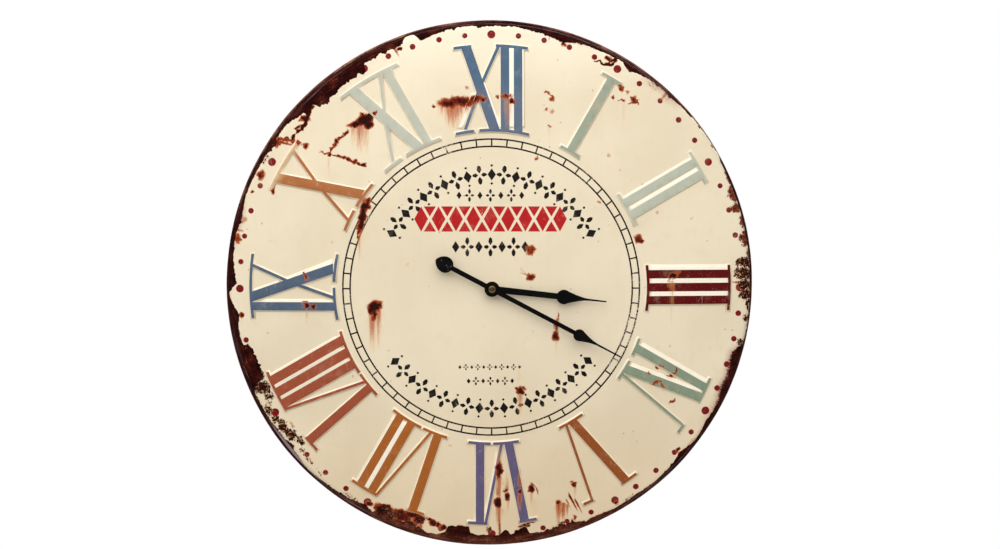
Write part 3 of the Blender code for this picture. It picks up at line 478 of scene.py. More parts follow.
# ---------------------------------------------------------------- wear tables
# Rust spots: (x, z, radius across, radius up, turn in degrees, strength at the middle);
# strength over 1 gives a dark core
SPOTS = [
    (-32, 137, 6.8, 2.9, 4, 1.04), (-22, 138, 7.8, 3.3, -3, 1.08), (-12, 140, 4.6, 2.2, 12, 1.05),
    (-6, 139.6, 2.2, 1.5, 0, 1.2), (-43.2, 134.8, 1, 0.8, 0, 1.1), (-18, 148, 0.8, 1.2, 0, 0.8),
    (-93.4, 124.8, 5.2, 3.6, 25, 1.5), (-100.4, 121.6, 4.6, 1.6, 20, 1.15),
    (-88, 128.4, 4, 1.3, 30, 1.2), (-90.5, 120.6, 3, 2.6, 0, 1.3), (-107.5, 115, 1.8, 1.1, 40, 1),
    (-114.9, 108.3, 1.4, 1.9, 20, 1.1), (-118.6, 102.5, 1.2, 1.3, 0, 0.98),
    (-120.1, 98.8, 1.5, 1.2, 0, 1.1), (-116, 105.6, 0.8, 1.3, 20, 0.95),
    (-110.2, 112.4, 0.9, 1.2, -40, 0.95), (-113, 97.5, 1.7, 1.1, 0, 1.06),
    (-108.8, 96.8, 1.5, 1.1, -20, 1.06), (-105, 95.2, 1.4, 1, -20, 1.04),
    (-101.4, 93.8, 1.7, 1.1, -20, 1.06), (-97.8, 92.4, 1.2, 0.9, 0, 1.02),
    (-94.4, 91.3, 1.3, 1.1, 0, 1.06), (-137.2, 105.5, 2, 1.8, 0, 1.1),
    (-139.4, 126.6, 1.8, 1.5, 0, 1.3), (-161.9, 71.6, 1.5, 1.2, 0, 1), (-170.8, 84.1, 2.4, 3, 0, 1),
    (-93.6, 61.2, 3.6, 3.4, 0, 1.35), (-95.4, 54, 2.6, 5, -12, 1.2), (-97.4, 46, 1.8, 5, -8, 1),
    (-91, 66, 2, 1.4, 0, 1), (10.7, 142.2, 2.8, 1.3, 0, 0.95), (15.1, 137.8, 1.8, 1.6, 0, 1.1),
    (5.5, 141.4, 2.4, 0.9, 0, 0.95), (12.9, 139.4, 2.6, 2.8, 0, 0.66),
    (41.8, 144.5, 1.1, 0.8, 0, 0.85), (44.7, 140.1, 1.6, 1.8, 30, 0.85),
    (41, 132, 1.3, 1, 0, 0.85), (44.6, 130.4, 1.2, 1.6, 0, 0.72), (42.5, 120.2, 1, 0.8, 0, 0.8),
    (96.2, 148.6, 1.6, 2, 30, 0.95), (90.2, 141.9, 1.2, 1, 0, 0.95), (97.7, 139.7, 1.3, 1, 0, 0.9),
    (105.2, 139.8, 1.4, 2.6, -30, 0.95), (101, 145, 1.2, 1.2, 0, 0.8), (92, 169.4, 1.6, 1.2, 40, 1.5),
    (109.1, 36.6, 3, 2.6, -50, 0.98), (111.6, 35, 1.8, 1.5, 0, 0.98), (79.7, 64.1, 1.2, 1, 0, 0.8),
    (28.3, 27.9, 3.4, 3.2, 0, 0.88), (30.6, 29.2, 1.8, 2, 0, 0.95), (28.8, 8.6, 2.8, 2.3, 20, 1),
    (24.6, 10.4, 2.2, 0.8, -20, 0.72), (23, 13.4, 2, 0.5, -35, 0.62),
    (33.5, 96.6, 1.1, 0.9, 0, 0.85), (86.4, 98.9, 0.9, 0.8, 0, 0.7), (123.4, 56, 0.9, 0.8, 0, 0.7),
    (135.2, 8.9, 3, 1.9, 25, 1.35), (137.2, 10.6, 3.4, 1.8, 20, 0.72),
    (133.6, 4.6, 2.4, 3.2, 0, 0.66), (-87.4, -13.6, 4.6, 3.6, 15, 1.45),
    (-83.6, -11.4, 2.4, 1.7, 30, 1.2), (-90.6, -16.6, 2.2, 1.6, 0, 1.15),
    (-87.2, -19, 1.8, 3.8, 0, 1.1), (-137.4, -13, 2.1, 1.9, 0, 1.35),
    (-132.1, -13.7, 1.6, 1.4, 0, 1.3), (-138.4, -10, 2.2, 1.7, 0, 0.8),
    (-80, -169.5, 7.4, 2.5, -22, 1.4), (-74, -172.4, 3.2, 1.6, -20, 1.2),
    (-55.1, -176.6, 3.4, 2.2, 0, 1.3), (47.6, -36, 2.2, 3.4, 0, 1.1), (48.4, -29, 1.4, 5, 0, 0.86),
    (49.2, -20.5, 0.5, 2.6, 0, 0.8), (21.2, -76.9, 2.5, 2.7, 0, 1.25),
    (18.6, -74.8, 1.2, 0.9, 0, 1), (24, -75, 1, 0.8, 0, 0.9), (5.6, -137.6, 1.9, 5.2, 0, 1.35),
    (4.9, -163.4, 2.3, 4, 0, 1.3), (11.7, -158.7, 1.7, 2.4, 0, 1.2),
    (21.5, -154.1, 1.4, 1.9, 0, 1.2), (29.9, -152.6, 1.9, 2.4, 0, 1.25),
    (10.6, -153.4, 1.3, 1.2, 0, 1.1), (63.3, -149.2, 1.6, 1.8, 0, 1.05),
    (60.8, -147.6, 0.8, 0.6, 0, 0.8), (124, -71.2, 1.6, 1.2, 30, 0.9),
    (124.6, -59.8, 1.4, 1.1, 0, 0.9), (136.2, -66, 1.8, 1, 40, 1), (129, -75, 1.2, 2.6, 40, 0.82),
    (118.5, -64, 1, 0.8, 0, 0.85), (136.6, -86, 1.6, 0.9, 30, 0.9),
    (77.4, 135.1, 2.4, 1.4, 20, 0.42), (71.6, 121.2, 1.4, 2.2, 0, 0.4),
    (51.2, -163.4, 1.3, 1.5, 0, 1.1), (53.4, -171, 2.6, 3.6, 0, 0.7), (-62, 18, 0.8, 0.7, 0, 0.6),
    (64, -18, 0.8, 0.7, 0, 0.55), (-31, -118, 1, 0.8, 0, 0.6), (96, 88, 0.8, 0.7, 0, 0.6),
    (150, 52, 0.9, 0.8, 0, 0.62), (-118, 34, 0.8, 0.8, 0, 0.6), (-104, -66, 1, 0.8, 0, 0.62),
    (-12, 112, 0.7, 0.7, 0, 0.6), (71, 120, 0.8, 0.8, 0, 0.6), (-64, -132, 0.8, 0.9, 0, 0.62),
]
# Thin broken lines of rust: (half width, strength, points)
STROKES = [
    (2.1, 1.45, ((-133.6, 133.4), (-135.4, 129.6), (-136.4, 125.4))),
    (1.6, 1.4, ((-136.4, 125.4), (-138, 121.6), (-140.2, 118.4))),
    (0.95, 1.32, ((-140.2, 118.4), (-143, 116), (-144.9, 114.4), (-147.6, 110.8))),
    (1.6, 0.8, ((-157.6, 110.2), (-151.3, 109.6), (-145.6, 109), (-141, 107.2))),
    (0.9, 1.15, ((-145.2, 118.4), (-142.4, 119.6))),
    (0.7, 0.86, ((-107, 115.6), (-109.5, 112.6), (-111.8, 111.4), (-114.4, 108.6),
                 (-115.4, 105.4), (-118, 103.4), (-119.6, 99.6))),
    (0.5, 0.9, ((-120.8, 99.6), (-117, 98.6), (-113.4, 97.3), (-109.6, 97), (-106.8, 95.8),
                (-102.4, 93.9), (-98.6, 92.6), (-94.6, 91.6), (-92.8, 90.6))),
    (0.4, 0.8, ((-126, 101), (-121.2, 99.4))),
    (1.2, 1.16, ((-101.6, 120.6), (-97, 123), (-92.6, 126), (-88.4, 129.4))),
    (0.9, 1.1, ((-95.4, 129.2), (-93.2, 124), (-91.6, 119.6))),
    (1.6, 1.2, ((-92.4, 63.8), (-93.6, 60), (-95.2, 55.2), (-95.6, 50.6), (-97.2, 46.2))),
    (0.6, 1.0, ((-98, 46), (-98.8, 41), (-98.4, 37.4))),
    (0.55, 1.0, ((-139.6, 13), (-137.6, 8.4))),
    (1.0, 1.7, ((80.5, 167.7), (84, 165.4), (88.6, 165.2), (92, 168.4))),
    (0.7, 1.5, ((76.4, 168.2), (81, 167.2))),
    (0.95, 1.6, ((84.6, 165.6), (88, 168.2), (92.8, 170.6), (95, 172.6))),
    (0.4, 0.8, ((40.4, 144.8), (43.6, 143.8), (46.2, 141), (44.2, 138.6))),
    (0.5, 0.95, ((104.2, 142.2), (105.8, 138.6), (108.8, 137.4))),
    (0.45, 0.82, ((94.6, 139.2), (97.2, 140.2))),
    (0.5, 0.9, ((101.8, 137.2), (106, 138.2), (109.8, 140))),
    (0.5, 0.86, ((121, -73), (125.6, -70), (128.4, -71.4))),
    (0.5, 0.9, ((133, -68), (138.4, -64.2), (139.6, -60.8))),
    (0.4, 0.8, ((126.6, -58.4), (130.4, -61.6))), (0.6, 0.95, ((134, -87.6), (139.2, -84.2))),
    (0.45, 0.85, ((-24.6, 139.4), (-38.4, 136))),
    (0.5, 0.9, ((30.6, -148.6), (33.6, -151.4), (35.2, -155))),
]
# Stains that run down: (x, z at the top, length, half width, strength); length below 0 runs up
DRIPS = [
    (-35, 135, 10, 4, 0.4), (-29, 135, 17, 4.6, 0.62), (-24.6, 135, 13, 3.4, 0.56),
    (-19, 135, 8, 3, 0.4), (-97, 121, 21, 3, 0.52), (-102, 119, 14, 1.6, 0.42),
    (-92, 118, 20, 1.6, 0.34), (-88.6, -14, 34, 2.2, 0.58), (-84.4, -12, 32, 1.8, 0.56),
    (-86.6, -16, 22, 3.8, 0.36), (5.6, -141, 38, 1.5, 0.59), (5.6, -132, -16, 1.3, 0.4),
    (4.9, -158, -24, 1.4, 0.59), (5.4, -166, 20, 1.7, 0.59), (11.5, -154, -18, 1.3, 0.46),
    (12.4, -160, 16, 1, 0.38), (21.5, -150, -14, 1, 0.56), (21.4, -156, 14, 1, 0.52),
    (29.9, -155, 16, 0.9, 0.42), (21.2, -79, 17, 1.5, 0.5), (20.4, -70, -30, 1.2, 0.22),
    (-97.6, 42, 22, 1.4, 0.34), (-137.4, -15, 14, 1, 0.3), (135, 5, 34, 1.6, 0.3),
    (12, 138, 22, 2.6, 0.34), (-72, -172, 12, 2, 0.4), (42.5, 119, 20, 0.8, 0.22),
    (48, -37, 16, 0.9, 0.26), (-120, 97, 18, 1.2, 0.26), (63.4, -151, 14, 1, 0.28),
    (98, 138, 20, 1.6, 0.18), (33, -160, 20, 2.2, 0.2), (51, -162, 20, 1.7, 0.9),
    (54.8, -164, 16, 1.3, 0.8), (57.8, -165, 11, 0.9, 0.66),
]
# Rust running in from the rim: (x, z, x, z, half width, strength), listed from start to end
RIM_DRIPS = [(59.4, -158.5, 67.4, -173.5, 1.2, 1), (64.6, -163.5, 70.4, -174.5, 1, 0.85),
             (57.4, -162, 61.8, -172, 0.8, 0.66)]
# The same by (degrees, outer station, inner station, drift in degrees, half width, strength)
for degree, outer, inner, drift, half, strength in (
        (304.4, 193, 174, 2.4, 1.7, 0.74), (178, 187, 158, 0.4, 1.5, 0.62),
        (196.5, 190, 176, 0.6, 2.2, 0.6), (247, 190, 178, 0, 1.6, 0.7),
        (89, 188, 178, -0.5, 1.4, 0.7), (42, 193, 186, 0, 2.4, 0.5),
        (338, 190, 182, 0.4, 1.4, 0.6), (13, 192, 186, 0, 1.2, 0.5),
        (283, 193, 187, 0, 1.6, 0.55)):
    RIM_DRIPS.append((*polar(outer, math.radians(degree)),
                      *polar(inner, math.radians(degree + drift)), half, strength))
# Patches that follow the rim: (degrees, station, half length along, half width, strength)
RIM_RUST = [
    (201.4, 186, 8, 5, 0.98), (199.4, 183, 6, 2.2, 1.02), (196.8, 184.6, 3.2, 3.2, 1),
    (194, 184, 3.2, 2.6, 1), (192.6, 184.8, 1.4, 1.6, 1), (195, 182, 2.4, 1, 1.05),
    (191.4, 186.4, 2.4, 2.3, 1), (206.2, 187.4, 6.4, 4.2, 1), (205.6, 184.6, 6, 1.8, 1.05),
    (209.4, 188.4, 2.2, 2, 1), (203.6, 189.6, 5, 2.2, 1), (199, 189.2, 6, 1.8, 1),
    (180.6, 184.6, 1.2, 1.4, 1.2), (164, 188.6, 1, 1, 1.1), (172.4, 183.4, 3, 0.8, 1.2),
    (170.4, 181.6, 2.4, 0.4, 1), (69.6, 196.4, 3.2, 2.6, 1), (72.2, 194.6, 2.2, 3, 1.02),
    (79, 196.2, 3.4, 2.6, 1), (27, 190.8, 2.2, 1.6, 1.1), (131, 188.8, 1.6, 1.2, 1.1),
    (16.4, 188.4, 1.4, 1.2, 1.1), (264, 187.8, 1.6, 1.2, 1.1), (281, 192.4, 3.4, 2.6, 0.86),
    (285.5, 191.6, 2.2, 3, 0.7), (339, 189.6, 1.6, 1.2, 1.1), (150, 190.6, 1.4, 1, 1),
    (304, 190.6, 2.6, 1.6, 0.9), (52.5, 203.6, 2, 1.6, 1.1), (57.5, 204, 1.3, 1.6, 1.05),
    (127.5, 192.5, 3, 1.5, 0.62), (292, 191.6, 1.4, 1, 1.1), (160.2, 186.6, 1.2, 2, 0.86),
    (235.5, 181.8, 2, 1, 0.7), (311.4, 188.6, 1.6, 1.2, 0.8),
]
RIM_POROUS = [
    (84.4, 191.6, 4, 6.4, 1.06), (86.8, 190.4, 4.4, 7.4, 1.16), (89.4, 192.4, 4, 7, 1.1),
    (91.6, 194, 3.6, 5.6, 1.06), (93.6, 196.4, 3.2, 3.8, 1), (95.4, 197.4, 2.6, 2.8, 0.85),
    (97, 196, 2.6, 4.4, 0.9), (98.6, 198.6, 1.8, 2.2, 0.85), (102.4, 194.6, 3, 4.2, 0.85),
    (87, 197.4, 14, 3.4, 0.88), (92, 189, 2.2, 1.6, 0.9), (65.6, 198, 6, 3.2, 1),
    (68.8, 195.4, 6, 4.6, 1.05), (72, 193.6, 3.6, 4.4, 1.05), (75.4, 196.6, 5.4, 3.4, 0.98),
    (79.2, 195, 5.6, 4.4, 1.05), (82.6, 197.8, 4, 3.4, 0.98), (246.4, 187.4, 5, 6, 1.05),
    (249.4, 187.4, 4.4, 5, 1.05), (244, 185.6, 3, 3.2, 0.94), (247.4, 192.4, 6, 3.6, 0.84),
    (242.8, 187.6, 2, 1.6, 0.85), (241.4, 191.2, 3.8, 2.4, 0.94), (238.6, 190, 3.2, 3, 0.98),
    (236.4, 188.4, 5, 3.4, 1.05), (233.6, 186.8, 4.6, 3.6, 1.02), (231.4, 184.6, 3.4, 2.4, 0.92),
    (229.4, 188.4, 3, 1.8, 0.85), (226.4, 189.8, 2.6, 1.6, 0.75), (223, 190.4, 2.2, 1.4, 0.75),
    (204, 187.6, 8, 3.6, 0.5), (198, 187.4, 6, 3.4, 0.5), (172, 183, 2.8, 1.8, 0.9),
    (180.6, 184.4, 1.8, 2, 0.95), (299.6, 192.8, 3.2, 1.6, 0.75), (39, 193, 4, 1.4, 0.55),
    (256.4, 188, 1.6, 1.6, 0.8), (214, 191.8, 5, 1.4, 0.7), (147, 191.6, 3, 1.2, 0.7),
    (163.4, 188.4, 1.8, 1.6, 0.85),
]
# Smoky staining inwards from the paint's end: (degrees, half width, reach, strength)
HAZE = ((41, 6, 7.0, 0.85), (112, 12, 6.0, 1.1), (106, 5, 5.0, 0.9), (285, 7, 4.0, 0.45),
        (125, 6, 3.0, 0.4), (20, 6, 2.0, 0.3), (235, 10, 2.6, 0.35), (160, 8, 2.0, 0.3))
# Worn stretches of the minute track: (degrees, half width, strength)
TRACK_WEAR = ((106, 20, 0.23), (87, 5, 0.20), (121, 5, 0.25), (162, 9, 0.15), (20, 7, 0.16),
              (41, 6, 0.19), (300, 4, 0.3), (200, 10, 0.12), (236, 9, 0.15), (264, 10, 0.15),
              (343, 4, 0.25))
# Along the bare rim, (degrees, half width, strength): a painted highlight on the rolled edge, paint
# crumbs, and a painted highlight just past the paint's end
BEAD_HIGHLIGHT = ((325, 45, 1.0), (30, 30, 0.9), (180, 50, 0.5))
CRUMB_WEAR = ((89, 10, 1.0), (101, 5, 0.8), (72, 9, 0.7), (246, 7, 1.0), (236, 9, 0.8),
              (200, 9, 0.6), (300, 6, 0.5))
# Painted highlight: a pale lavender glint just past the paint's end.
SHOULDER_GLINT = ((136, 18, 0.38), (230, 14, 1.0), (212, 10, 0.5), (255, 12, 0.4),
                 (320, 14, 0.35))


# ---------------------------------------------------------------- wear fields
def wobble(x, z, amount, size, seed):
    """Bends points about, so that patches get uneven outlines."""
    places = [Vector((x[i] / size, z[i] / size, seed)) for i in range(len(x))]
    shift = Vector((17.3, 5.1, 3.7))
    across = np.array([noise.noise(place) for place in places])
    up = np.array([noise.noise(place + shift) for place in places])
    return x + amount * across, z + amount * up


def rim_field(x, z, table, curve, level=0.55):
    """Strength of the patches along the rim; level is reached at a patch's outline."""
    stations, degrees = np.hypot(x, z), np.degrees(np.arctan2(x, z))
    field = np.zeros(len(x))
    for degree, station, along, across, strength in table:
        arc = np.radians(degrees_off(degrees, degree)) * station
        away = np.hypot(arc / along, (stations - station) / across)
        near = away < 2.2
        away = away[near]
        outside = level * np.clip(1 - (away - 1) * min(along, across) / 1.3, 0, 1) ** 0.8
        value = np.where(away < 1, strength - (strength - level) * away ** curve, outside)
        field[near] = np.maximum(field[near], value * min(1.0, strength))
    return field


def add_spots(field, x, z):
    for cx, cz, wide, high, turn, strength in SPOTS:
        wide, high = 1.18 * wide + 0.15, 1.18 * high + 0.15
        large, small = max(wide, high), min(wide, high)
        near = (np.abs(x - cx) < 2.4 * large + 2) & (np.abs(z - cz) < 2.4 * large + 2)
        s, c = math.sin(math.radians(turn)), math.cos(math.radians(turn))
        dx, dz = x[near] - cx, z[near] - cz
        away = np.hypot((dx * c + dz * s) / wide, (dz * c - dx * s) / high)
        outside = 0.5 - 0.5 * np.clip((away - 1) * small / (0.9 + 0.12 * large), 0, 1) ** 0.7
        value = np.where(away < 1, strength - (strength - 0.5) * away ** 1.5, outside)
        field[near] = np.maximum(field[near], value * min(1.0, strength))


def add_strokes(field, x, z, flat_x, flat_z):
    """x and z are bent; the flat ones vary the width."""
    for half, strength, line in STROKES:
        for (x0, z0), (x1, z1) in zip(line, line[1:]):
            near = np.nonzero((x > min(x0, x1) - 4) & (x < max(x0, x1) + 4)
                              & (z > min(z0, z1) - 4) & (z < max(z0, z1) + 4))[0]
            dx, dz = x1 - x0, z1 - z0
            part = np.clip(((x[near] - x0) * dx + (z[near] - z0) * dz) / (dx * dx + dz * dz),
                           0, 1)
            away = np.hypot(x[near] - x0 - part * dx, z[near] - z0 - part * dz)
            width = np.array([half * (1 + 0.8 * noise.noise(
                Vector((flat_x[i] * 0.42, flat_z[i] * 0.42, 9.0)))) for i in near])
            value = np.where(away < width, strength - (strength - 0.5) * (away / width) ** 1.5,
                             0.5 - 0.5 * np.clip((away - width) / 0.9, 0, 1) ** 0.7)
            field[near] = np.maximum(field[near], value)


def add_drips(field, x, z):
    """Rust cores of the strong drips, and drips from the rim."""
    for cx, top, length, half, strength in DRIPS:
        if strength < 0.6:
            continue
        part = (top - z) / length
        near = (part > -0.02) & (part < 1) & (np.abs(x - cx) < 1.6 * half)
        part = part[near]
        width = 0.8 * half * (1.15 - 0.3 * part)
        core = np.clip(1 - (np.abs(x[near] - cx) / width) ** 2, 0, 1)
        field[near] = np.maximum(field[near], 0.8 * strength * core * (1 - part) ** 0.8)
    for x0, z0, x1, z1, half, strength in RIM_DRIPS:
        dx, dz = x1 - x0, z1 - z0
        length = math.hypot(dx, dz)
        part = ((x - x0) * dx + (z - z0) * dz) / length ** 2
        off = np.abs((x - x0) * dz - (z - z0) * dx) / length
        near = (part > -0.2) & (part < 1) & (off < half * 1.6)
        part = np.clip(part[near], 0, 1)
        core = np.clip(1 - (off[near] / (half * (1.1 - 0.45 * part))) ** 2, 0, 1)
        field[near] = np.maximum(field[near], strength * core * (1 - part ** 2.2))


def add_broken_edge(field, x, z, edge):
    """A stained line where the paint is broken off."""
    for i in np.nonzero(edge < 3.0)[0]:
        patch = (0.5 + 0.5 * noise.noise(Vector((x[i] * 0.07, z[i] * 0.07, 4.0)))) ** 2
        fall = max(0.0, 1 - edge[i] / (0.6 + 2.0 * patch)) ** 0.8
        field[i] = max(field[i], (0.14 + 0.36 * patch) * fall)


def corrosion(x, z, edge):
    """0 sound paint, about 0.3 stained, 0.6 rust, 1 dark core; edge is the distance to the
    paint's end."""
    bent = wobble(*wobble(x, z, 1.5, 3.6, 1.0), 0.7, 1.3, 5.0)
    field = rim_field(*bent, RIM_RUST, curve=3.4)
    add_spots(field, *bent)
    add_strokes(field, *bent, x, z)
    add_drips(field, x, z)
    add_broken_edge(field, x, z, edge)
    return field


def haze(x, z, edge):
    """Soft staining by the rim."""
    degrees = np.degrees(np.arctan2(x, z)) % 360
    return np.max([strength * swell(degrees, centre, half)
                   * np.clip(1 - edge / reach, 0, 1) ** 1.3
                   for centre, half, reach, strength in HAZE], axis=0)


def runs(x, z):
    """Soft stain that ran from rust, 0 to 1."""
    field = np.zeros(len(x))
    for cx, top, length, half, strength in DRIPS:
        half = 1.6 * half
        part = (top - z) / (1.1 * length)
        near = (part > -0.06) & (part < 1) & (np.abs(x - cx) < 1.4 * half)
        part = part[near]
        core = np.clip(1 - (np.abs(x[near] - cx) / (half * (1.1 - 0.25 * part))) ** 2, 0, 1)
        fall = np.clip(1 - part, 0, 1) ** 0.7 * np.clip((part + 0.06) * 9, 0, 1)
        field[near] = np.maximum(field[near], min(1.0, 1.35 * strength) * core * fall)
    return field


def track_fade(x, z):
    """How worn the printed minute track is: 0 solid, 1 gone."""
    radius, degrees = np.hypot(x, z), np.degrees(np.arctan2(x, z)) % 360
    worn = np.max([strength * np.clip(1.4 * (1 - np.abs(degrees_off(degrees, centre)) / half), 0, 1)
                   for centre, half, strength in TRACK_WEAR], axis=0)
    return np.where((radius > 104.0) & (radius < 111.5), np.maximum(0.02, 1.7 * worn), 0.0)


# ---------------------------------------------------------------- printed ornament
# Corners of the upper and right petals, in half widths and half heights of a flower
PETAL_UP = ((0, 0.16), (0.34, 0.52), (0.24, 0.86), (0, 1), (-0.24, 0.86), (-0.34, 0.52))
PETAL_RIGHT = ((0.2, 0), (0.55, -0.22), (0.95, -0.12), (1.08, 0), (0.95, 0.12), (0.55, 0.22))


def lozenge(cx, cz, wide, high):
    return [(cx - wide, cz), (cx, cz - high), (cx + wide, cz), (cx, cz + high)]


def flower(cx, cz, wide, high):
    """Four petals about a bare middle."""
    up, right = ([(cx + x * wide, cz + z * high) for x, z in petal]
                 for petal in (PETAL_UP, PETAL_RIGHT))
    down = [(x, 2 * cz - z) for x, z in reversed(up)]
    left = [(2 * cx - x, z) for x, z in reversed(right)]
    return [up, down, right, left]


def arc_row(first, last, radius, wide, high, step):
    """Flowers and lozenges in turn along an arc about the centre, in degrees."""
    out, count = [], 2 * int(round((last - first) / step / 2))
    for k in range(count + 1):
        if k % 2:
            marks = flower(0, radius, wide * 0.92, high)
        else:
            marks = [lozenge(0, radius, wide * 0.56, high * 0.62)]
            marks += [lozenge(0, radius + side * high * 0.92, wide * 0.2, high * 0.15)
                      for side in (1, -1)]
        out += [spin(mark, first + (last - first) * k / count) for mark in marks]
    return out


def flat_row(first, last, z, wide, high, count):
    out = []
    for k in range(count):
        x = first + (last - first) * (k + 0.5) / count
        if (k - (count - 1) // 2) % 2 == 0:
            out += flower(x, z, wide, high)
        else:
            out.append(lozenge(x, z, wide * 0.6, high * 0.6))
    return out


def black_ornament():
    return (arc_row(-61, 61, radius=84.4, wide=5.6, high=7.2, step=6.1)
            + arc_row(127, 233, radius=90.2, wide=5.6, high=7.0, step=5.9)
            + flat_row(-28, 26, z=69.0, wide=3.2, high=4.8, count=7)
            + flat_row(-31, 29, z=31.0, wide=4.6, high=7.2, count=7)
            + flat_row(-26, 23, z=-58.7, wide=2.0, high=2.4, count=11)
            + flat_row(-20, 18, z=-69.2, wide=2.4, high=3.3, count=7))


def red_ornament():
    """A row of lozenges with triangles between them."""
    out, count, left, width = [], 9, -58.6, 115.6
    for k in range(count):
        x = left + width * (k + 0.5) / count
        out.append(lozenge(x, 51.6, 5.1, 9.3))
        if k:
            x -= width / 2 / count
            out.append([(x - 4.5, 60.9), (x, 53.4), (x + 4.5, 60.9)])
            out.append([(x + 4.5, 42.3), (x, 49.8), (x - 4.5, 42.3)])
    return out


def minute_dots():
    """Uneven dots by the rim, larger on the hours."""
    out = []
    for k in range(60):
        cx, cz = polar(DOT_RING_R, math.radians(6.0 * k + random.uniform(-0.12, 0.12)))
        radius = (3.0 if k % 5 == 0 else 2.05) * random.uniform(0.95, 1.06)
        radius *= 1.06 if 11 < k < 25 else 1.0
        dot = []
        for c, s in circle(1.0, 22):
            reach = radius * (1 + 0.05 * noise.noise(Vector((c, s, k * 3.1)) * 1.6))
            dot.append((cx + reach * c, cz + reach * s))
        out.append(dot)
    return out


def track_loops():
    out = [circle(radius, 240) for ring in TRACK for radius in ring]
    low, high = TRACK[0][1] + 0.02, TRACK[1][0] - 0.02
    tick = [(-TICK, low), (TICK, low), (TICK, high), (-TICK, high)]
    return out + [spin(tick, 6.0 * k) for k in range(60)]


# ---------------------------------------------------------------- mesh helpers
def link_object(name, mesh):
    ob = bpy.data.objects.new(name, mesh)
    bpy.context.scene.collection.objects.link(ob)
    return ob


def new_mesh(name, verts, faces):
    mesh = bpy.data.meshes.new(name)
    mesh.from_pydata(verts, [], faces)
    return mesh


def point_attribute(mesh, name, values):
    layer = mesh.attributes.new(name, "FLOAT", "POINT")
    layer.data.foreach_set("value", np.asarray(values, np.float32))


def set_normals(mesh, normals):
    mesh.shade_smooth()
    mesh.normals_split_custom_set_from_vertices([tuple(n) for n in normals])


@contextlib.contextmanager
def editing(mesh):
    bm = bmesh.new()
    bm.from_mesh(mesh)
    yield bm
    bm.to_mesh(mesh)
    bm.free()


def shade_by_angle(mesh, degrees):
    mesh.shade_smooth()
    mesh.set_sharp_from_angle(angle=math.radians(degrees))


def bevel(ob, name, width, degrees):
    mod = ob.modifiers.new(name, "BEVEL")
    mod.width, mod.segments = width * MM, 2
    mod.limit_method, mod.angle_limit = "ANGLE", math.radians(degrees)
    mod.harden_normals = True


# ---------------------------------------------------------------- points inside the paint
# They carry the dome's curve and the wear fields.
EDGE_STATIONS = (186.5, 189.5, 191.0, 192.2, 193.2, 194.2, 195.2, 196.4, 197.6, 198.8, 200.6,
                 202.4, 204.4, 205.4, 206.4, 207.4, 208.4)


def dome_points():
    for radius in range(9, 192, 5):
        yield from circle(radius, max(10, int(2 * math.pi * radius / 5.5)), phase=0.37 * radius)


def edge_points():
    for degree in np.arange(0.0, 360.0, 0.5):
        end = edge_station(degree)
        angle = math.radians(float(degree))
        for station in EDGE_STATIONS:
            if station < end - 0.5:
                yield polar(station, angle)
        for back in (0.7, 1.6, 2.8):
            yield polar(end - back, angle + 0.003)


def strip_points(start, end, parts, rows, gap):
    """Points across a line, at parts of its length; rows lie on either side."""
    dx, dz = end[0] - start[0], end[1] - start[1]
    length = math.hypot(dx, dz)
    for part in parts:
        for j in range(-rows, rows + 1):
            yield (start[0] + dx * part - dz / length * j * gap,
                   start[1] + dz * part + dx / length * j * gap)


def stroke_points(gap=0.6):
    for _, _, line in STROKES:
        for start, end in zip(line, line[1:]):
            length = math.hypot(end[0] - start[0], end[1] - start[1])
            parts = [i * gap / length for i in range(int(length / gap) + 1)]
            yield from strip_points(start, end, parts, 4, gap)


def rim_patch_points():
    for degree, station, along, across, _ in RIM_RUST + RIM_POROUS:
        step = 0.8 if along > 2.6 else 0.6
        columns, rows = int((along + 1.4) / step) + 1, int((across + 1.4) / step) + 1
        for i in range(-columns, columns + 1):
            for j in range(-rows, rows + 1):
                if (i / columns) ** 2 + (j / rows) ** 2 <= 1:
                    angle = math.radians(degree) + (i + 0.5 * (j % 2)) * step / station
                    yield polar(station + j * step, angle)


def spot_points():
    for cx, cz, wide, high, turn, _ in SPOTS:
        s, c = math.sin(math.radians(turn)), math.cos(math.radians(turn))
        step = max(0.55, min(wide, high) / 2.2)
        reach = 2.2 + 0.12 * max(wide, high)
        columns, rows = int((wide + reach) / step) + 1, int((high + reach) / step) + 1
        for i in range(-columns, columns + 1):
            for j in range(-rows, rows + 1):
                a, b = i * step + (j % 2) * step / 2, j * step
                if (a / (wide + reach)) ** 2 + (b / (high + reach)) ** 2 < 1:
                    yield cx + a * c - b * s + 0.013, cz + a * s + b * c + 0.017


def drip_points():
    for cx, top, length, half, _ in DRIPS:
        count = max(3, int(abs(length) / 1.6))
        for i in range(count + 1):
            for j in range(-3, 4):
                yield cx + j * half * 0.42 + 0.007, top - length * i / count + 0.011
    for x0, z0, x1, z1, half, _ in RIM_DRIPS:
        count = max(3, int(math.hypot(x1 - x0, z1 - z0) / 1.2))
        parts = [i / count for i in range(count + 1)]
        yield from strip_points((x0, z0), (x1, z1), parts, 3, half * 0.42)


def inner_points(outline, bases, tops, relief, spacing=0.45):
    """Thinned points inside the outline, off the numerals' flanks."""
    points = np.array([*dome_points(), *edge_points(), *stroke_points(), *rim_patch_points(),
                       *spot_points(), *drip_points()])
    keep = inside(points, [outline]) & (np.hypot(*points.T) > CENTRE_HOLE + 1.2)
    on_top = np.any([inside(points, loops) for loops in tops], axis=0)
    on_base = np.any([inside(points, loops) for loops in bases], axis=0)
    keep &= ~(on_base & ~on_top)
    taken, chosen = set(), []
    for i in np.nonzero(keep)[0]:
        cell = (round(points[i, 0] / spacing), round(points[i, 1] / spacing))
        if cell in taken:
            continue
        taken.add(cell)
        point = tuple(points[i].tolist())
        chosen.append(point)
        if on_top[i]:
            relief.heights[point] = RAISE
    return chosen


